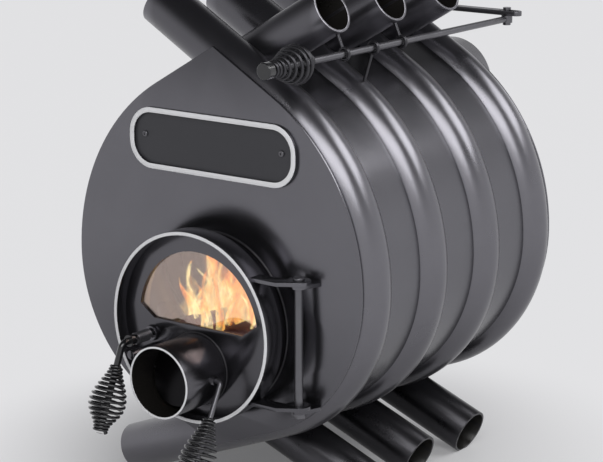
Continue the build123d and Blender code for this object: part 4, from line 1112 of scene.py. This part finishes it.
# %% [markdown]
# The logs lie on a bed of ash, pale flakes over dark. Its top has slow drifts and small lumps, so
# it is a flat box that is subdivided, and two noises lift the vertices of its upper face.

# %% Lay the bed of ash
ASH_LEVEL = -141
ASH_SIZE = (100, 370, 8)
ASH_CUTS = 40
ASH_DARK = (0.035, 0.032, 0.03)
ASH_PALE = (0.30, 0.28, 0.26)

ash_finish, tree, shader = open_material("ash", (0.2, 0.19, 0.18), 0.0, 0.95)
flakes = noise_at(tree, object_place(tree), 160.0, 6.0)
tree.links.new(mix_colours(tree, flakes, ASH_DARK, ASH_PALE), shader.inputs["Base Color"])


def rough(co, scale, depth):
    """How far noise pushes this place."""
    return noise.noise(co * scale) * depth


bpy.ops.object.select_all(action="DESELECT")
bpy.ops.mesh.primitive_cube_add(
    size=1, location=at(0, 200, ASH_LEVEL - 4), scale=[side * MM for side in ASH_SIZE]
)
ash = bpy.context.object
bpy.ops.object.transform_apply(location=True, rotation=True, scale=True)
edit(ash)
bpy.ops.mesh.subdivide(number_cuts=ASH_CUTS)
select_only(ash)
for vertex in ash.data.vertices:
    if vertex.co.z > at(0, 0, ASH_LEVEL - 0.5).z:
        vertex.co.z += rough(vertex.co, 30.0, 7 * MM) + rough(vertex.co, 110.0, 2 * MM)
settle(ash, "ash_bed", ash_finish, "stove", 60)
print("ash faces", len(ash.data.polygons))

# %% [markdown]
# Embers are small broken lumps that lie in the ash and glow in patches. Each is a small ball that
# is turned and flattened by chance, and noise breaks it up. The seed is fixed, so that every run
# drops them in the same places.

# %% Scatter the embers
EMBER_COUNT = 46

ember_finish, tree, shader = open_material("embers", (0.05, 0.012, 0.006), 0.0, 0.9)
heat = spread(tree, noise_at(tree, object_place(tree), 120.0, 3.0), 0.42, 0.62)
ember_light = mix_colours(tree, heat, (0.05, 0.004, 0.0), (1.0, 0.30, 0.04))
tree.links.new(ember_light, shader.inputs["Emission Color"])
ember_colour = mix_colours(tree, heat, (0.02, 0.012, 0.01), (0.3, 0.05, 0.01))
tree.links.new(ember_colour, shader.inputs["Base Color"])
shader.inputs["Emission Strength"].default_value = 2.5

chance = Random(11)
lumps = []
for _ in range(EMBER_COUNT):
    bpy.ops.object.select_all(action="DESELECT")
    spot = at(chance.uniform(-44, 44), chance.uniform(22, 300), ASH_LEVEL + chance.uniform(2, 7))
    bpy.ops.mesh.primitive_ico_sphere_add(subdivisions=3, radius=chance.uniform(5, 10) * MM, location=spot)
    lump = bpy.context.object
    lump.rotation_euler = [chance.uniform(0, tau) for _ in range(3)]
    lump.scale = (1.0, chance.uniform(0.6, 0.9), chance.uniform(0.5, 0.8))
    bpy.ops.object.transform_apply(location=True, rotation=True, scale=True)
    for vertex in lump.data.vertices:
        vertex.co += (vertex.co - spot) * noise.noise(vertex.co * 140.0) * 0.5
    lumps.append(lump)
embers = settle(join("embers", lumps), "embers", ember_finish, "stove", 25)
print("ember faces", len(embers.data.polygons))

# %% [markdown]
# A flame gives light of its own, from pale yellow at the foot to red at the tip. A volume would
# be lost in the exported model, so it is a surface that emits. Noise breaks it up, and Layer
# Weight thins it towards its edges, so that the tongues melt into each other.

# %% Mix the colours of fire
FLAME_FOOT = at(0, 0, -100).z
FLAME_TIP = at(0, 0, 52).z
DRAWN_OUT = (1.0, 1.0, 0.32)
SWIRL = 2.8
STREAK = 1.5
FOOT_COLOUR = (1.0, 0.80, 0.36, 1.0)
TIP_COLOUR = (0.30, 0.05, 0.01, 1.0)
FIRE_COLOURS = ((0.22, (1.0, 0.60, 0.16)), (0.42, (0.95, 0.34, 0.05)), (0.68, (0.60, 0.13, 0.02)))


def flame_finish(name, strength, thinnest, thickest):
    """Fire that is this strong, and this much seen where it is thinnest and thickest."""
    material, tree, shader = open_material(name, (0.0, 0.0, 0.0), 0.0, 1.0, specular_ior_level=0.0)
    place = object_place(tree)
    drawn = add_node(tree, "ShaderNodeMapping")
    drawn.inputs["Scale"].default_value = DRAWN_OUT
    tree.links.new(place, drawn.inputs["Vector"])
    billows = noise_at(tree, drawn.outputs[0], 46.0, 3.0)
    wisps = noise_at(tree, drawn.outputs[0], 150.0, 4.0, 0.65)
    climb = spread(tree, split(tree, place)["Z"], FLAME_FOOT, FLAME_TIP)
    swirl = math_node(tree, "MULTIPLY", math_node(tree, "SUBTRACT", billows, 0.5), SWIRL)
    streak = math_node(tree, "MULTIPLY", math_node(tree, "SUBTRACT", wisps, 0.5), STREAK)
    cooled = math_node(tree, "ADD", math_node(tree, "ADD", climb, swirl), streak)
    ramp = add_node(tree, "ShaderNodeValToRGB")
    tree.links.new(cooled, ramp.inputs[0])
    stops = ramp.color_ramp.elements
    stops[0].color = FOOT_COLOUR
    stops[1].color = TIP_COLOUR
    for position, colour in FIRE_COLOURS:
        stops.new(position).color = (*colour, 1.0)
    tree.links.new(ramp.outputs[0], shader.inputs["Emission Color"])
    shader.inputs["Emission Strength"].default_value = strength
    facing = add_node(tree, "ShaderNodeLayerWeight")
    facing.inputs["Blend"].default_value = 0.42
    soft = spread(tree, facing.outputs["Facing"], 0.25, 0.95, 1.0, 0.0)
    body = spread(tree, wisps, 0.38, 0.62, thinnest, thickest)
    fade = spread(tree, cooled, 0.45, 1.20, 1.0, 0.0)
    shown = math_node(tree, "MULTIPLY", math_node(tree, "MULTIPLY", body, fade), soft)
    tree.links.new(shown, shader.inputs["Alpha"])
    return material


tongue_fire = flame_finish("tongue_fire", strength=1.7, thinnest=0.10, thickest=0.9)
veil_fire = flame_finish("veil_fire", strength=1.0, thinnest=0.05, thickest=0.35)
print("fires", tongue_fire.name, veil_fire.name)

# %% [markdown]
# A flame is a closed tongue, widest near its foot, drawn out and swaying to a thin tip. It starts
# as a sphere of many rings, which a formula pulls up, bends and twists into a ribbon.

# %% Helper that shapes a flame
FLAME_SIDES = 16
FLAME_RINGS = 44
RIBBON = 0.35
TWIST = 3.4


def make_flame(foot, height, width, sway, phase, lean):
    """A tongue of fire from this foot, leaning across by so much at its tip."""
    bpy.ops.object.select_all(action="DESELECT")
    bpy.ops.mesh.primitive_uv_sphere_add(
        segments=FLAME_SIDES, ring_count=FLAME_RINGS, radius=0.5, location=(0, 0, 0)
    )
    flame = bpy.context.object
    for vertex in flame.data.vertices:
        climb = vertex.co.z + 0.5
        belly = 1.35 * (1.0 - climb) ** 0.8 * (0.35 + 0.65 * climb**0.5)
        wave = sin(phase + climb * 6.5) * sway * climb**0.8 + lean * climb**1.4
        curl = cos(phase * 1.7 + climb * 8.0) * sway * 0.6 * climb
        twist = phase + TWIST * climb
        x = vertex.co.x * width * belly
        y = vertex.co.y * width * RIBBON * belly
        vertex.co = foot + Vector(
            (x * cos(twist) - y * sin(twist) + wave, x * sin(twist) + y * cos(twist) + curl, climb * height)
        )
    return flame


print("a flame has", FLAME_RINGS, "rings")

# %% [markdown]
# The fire burns in a band among the logs, with its crest left of the middle. The band slants with
# depth, so that the tongues stand side by side behind the glass. A few wide and faint veils
# behind the tongues fill the gaps between them.

# %% Light the flames
BAND_SLANT = 0.743
FIRE_LOW = (-122, -104)
MOST_LEAN = 14


def crown(share):
    """How tall the fire stands, from its low left edge over its crest to the right."""
    if share < 0.2:
        return 0.55
    return 1.0 if share < 0.48 else 0.82


def light_fire(name, count, finish, seed, *, across, behind, tall, wide, sway):
    """Tongues of fire in a slanting band over the logs, with their feet among them."""
    chance = Random(seed)
    tongues = []
    for number in range(count):
        share = (number + chance.uniform(-0.4, 0.4)) / (count - 1)
        y = chance.uniform(*behind)
        x = across[0] + (across[1] - across[0]) * share - BAND_SLANT * y
        foot = at(x, y, chance.uniform(*FIRE_LOW))
        height = chance.uniform(*tall) * crown(share) * MM
        width = chance.uniform(*wide) * MM
        swing = chance.uniform(*sway) * MM
        phase = chance.uniform(0, tau)
        lean = chance.uniform(-MOST_LEAN, MOST_LEAN) * MM
        tongues.append(make_flame(foot, height, width, swing, phase, lean))
    fire = settle(join(name, tongues), name, finish, "stove", 80)
    print(name, len(tongues), "tongues, faces", len(fire.data.polygons))


light_fire(
    "flame_tongues", 36, tongue_fire, seed=5,
    across=(-40, 72), behind=(36, 120), tall=(100, 165), wide=(16, 27), sway=(7, 14),
)
light_fire(
    "flame_veils", 9, veil_fire, seed=23,
    across=(-44, 76), behind=(50, 125), tall=(100, 150), wide=(40, 60), sway=(6, 11),
)

# %% [markdown]
# The studio is a pale floor and a world that is pale at the horizon and darker overhead, so that
# the ribs turn from light to dark. The camera, metal and glass all see that backdrop. Far from the
# stove the floor shows as pale paper of its own, and near it the lamps and shadows show.

# %% Lay the floor
FLOOR_HALF = 9.0
FLOOR_COLOUR = (0.82, 0.82, 0.83)
PALE_PAPER = (0.77, 0.77, 0.785)
PALE_FROM_TO = (0.14, 0.50)
PALE_SHARE = (0.15, 0.97)


def seen_directly(tree):
    """One for what the camera sees itself, or in metal, or through glass."""
    rays = add_node(tree, "ShaderNodeLightPath")
    seen = math_node(tree, "ADD", rays.outputs["Is Camera Ray"], rays.outputs["Is Glossy Ray"], clamp=True)
    return math_node(tree, "ADD", seen, rays.outputs["Is Transmission Ray"], clamp=True)


bpy.ops.object.select_all(action="DESELECT")
bpy.ops.mesh.primitive_plane_add(size=2 * FLOOR_HALF, location=(0, 0, 0))
floor = bpy.context.object
floor.name = "studio_floor"
floor_material, tree, shader = open_material("studio_floor", FLOOR_COLOUR, 0.0, 0.6)
away = add_node(tree, "ShaderNodeVectorMath", operation="LENGTH")
tree.links.new(object_place(tree), away.inputs[0])
share = spread(tree, away.outputs["Value"], *PALE_FROM_TO, *PALE_SHARE)
paper = add_node(tree, "ShaderNodeEmission")
paper.inputs["Color"].default_value = (*PALE_PAPER, 1.0)
mixed = add_node(tree, "ShaderNodeMixShader")
tree.links.new(math_node(tree, "MULTIPLY", share, seen_directly(tree)), mixed.inputs[0])
tree.links.new(shader.outputs[0], mixed.inputs[1])
tree.links.new(paper.outputs[0], mixed.inputs[2])
tree.links.new(mixed.outputs[0], tree.nodes["Material Output"].inputs[0])
floor.data.materials.append(floor_material)
print("floor", 2 * FLOOR_HALF, "metres wide")

# %% [markdown]
# A world could be one even grey, but then metal has nothing to mirror. Here it is a soft step from
# the paper at the horizon to a dark ceiling. For all other rays it is a plain grey, so the
# backdrop doesn't change how much soft light falls on the stove.

# %% Colour the world
OVERHEAD_FROM_TO = (0.12, 0.72)
OVERHEAD = (0.030, 0.030, 0.035)
ROOM_LIGHT = (0.20, 0.20, 0.205)

world = bpy.data.worlds.new("studio")
bpy.context.scene.world = world
world.use_nodes = True
tree = world.node_tree
direction = split(tree, add_node(tree, "ShaderNodeTexCoord").outputs["Generated"])
backdrop = mix_colours(tree, spread(tree, direction["Z"], *OVERHEAD_FROM_TO), PALE_PAPER, OVERHEAD)
room = mix_colours(tree, seen_directly(tree), ROOM_LIGHT, backdrop)
tree.links.new(room, tree.nodes["Background"].inputs["Color"])
print("world", world.name, "nodes", len(tree.nodes))

# %% [markdown]
# Two large softboxes light the stove. A small lamp would give a hard spark on each rib, while a
# wide one gives long soft highlights. One stands in front to the right and the other behind to the
# right, so that each rib is lit from two sides.

# %% Set up the lamps
LAMP_DISTANCE = 3.0
LAMP_AIM = (0, 0, 0.3)


def studio_place(turn, lift):
    """A place round the stove: degrees to the right of the front, and degrees up."""
    level = LAMP_DISTANCE * cos(radians(lift))
    height = LAMP_AIM[2] + LAMP_DISTANCE * sin(radians(lift))
    return (level * sin(radians(turn)), -level * cos(radians(turn)), height)


def add_softbox(name, place, width, height, power):
    """A flat lamp of this size and power, aimed at the stove."""
    light = bpy.data.lights.new(name, "AREA")
    light.shape = "RECTANGLE"
    light.size = width
    light.size_y = height
    light.energy = power
    lamp = put_in_scene(name, light)
    lamp.location = place
    lamp.rotation_euler = (Vector(LAMP_AIM) - Vector(place)).to_track_quat("-Z", "Y").to_euler()
    return lamp


add_softbox("front_softbox", studio_place(38, 37), width=2.6, height=1.35, power=44)
add_softbox("back_softbox", studio_place(127, 42), width=1.9, height=1.4, power=33)
bpy.context.scene.view_settings.view_transform = "Standard"
print("softboxes", len(bpy.data.lights))
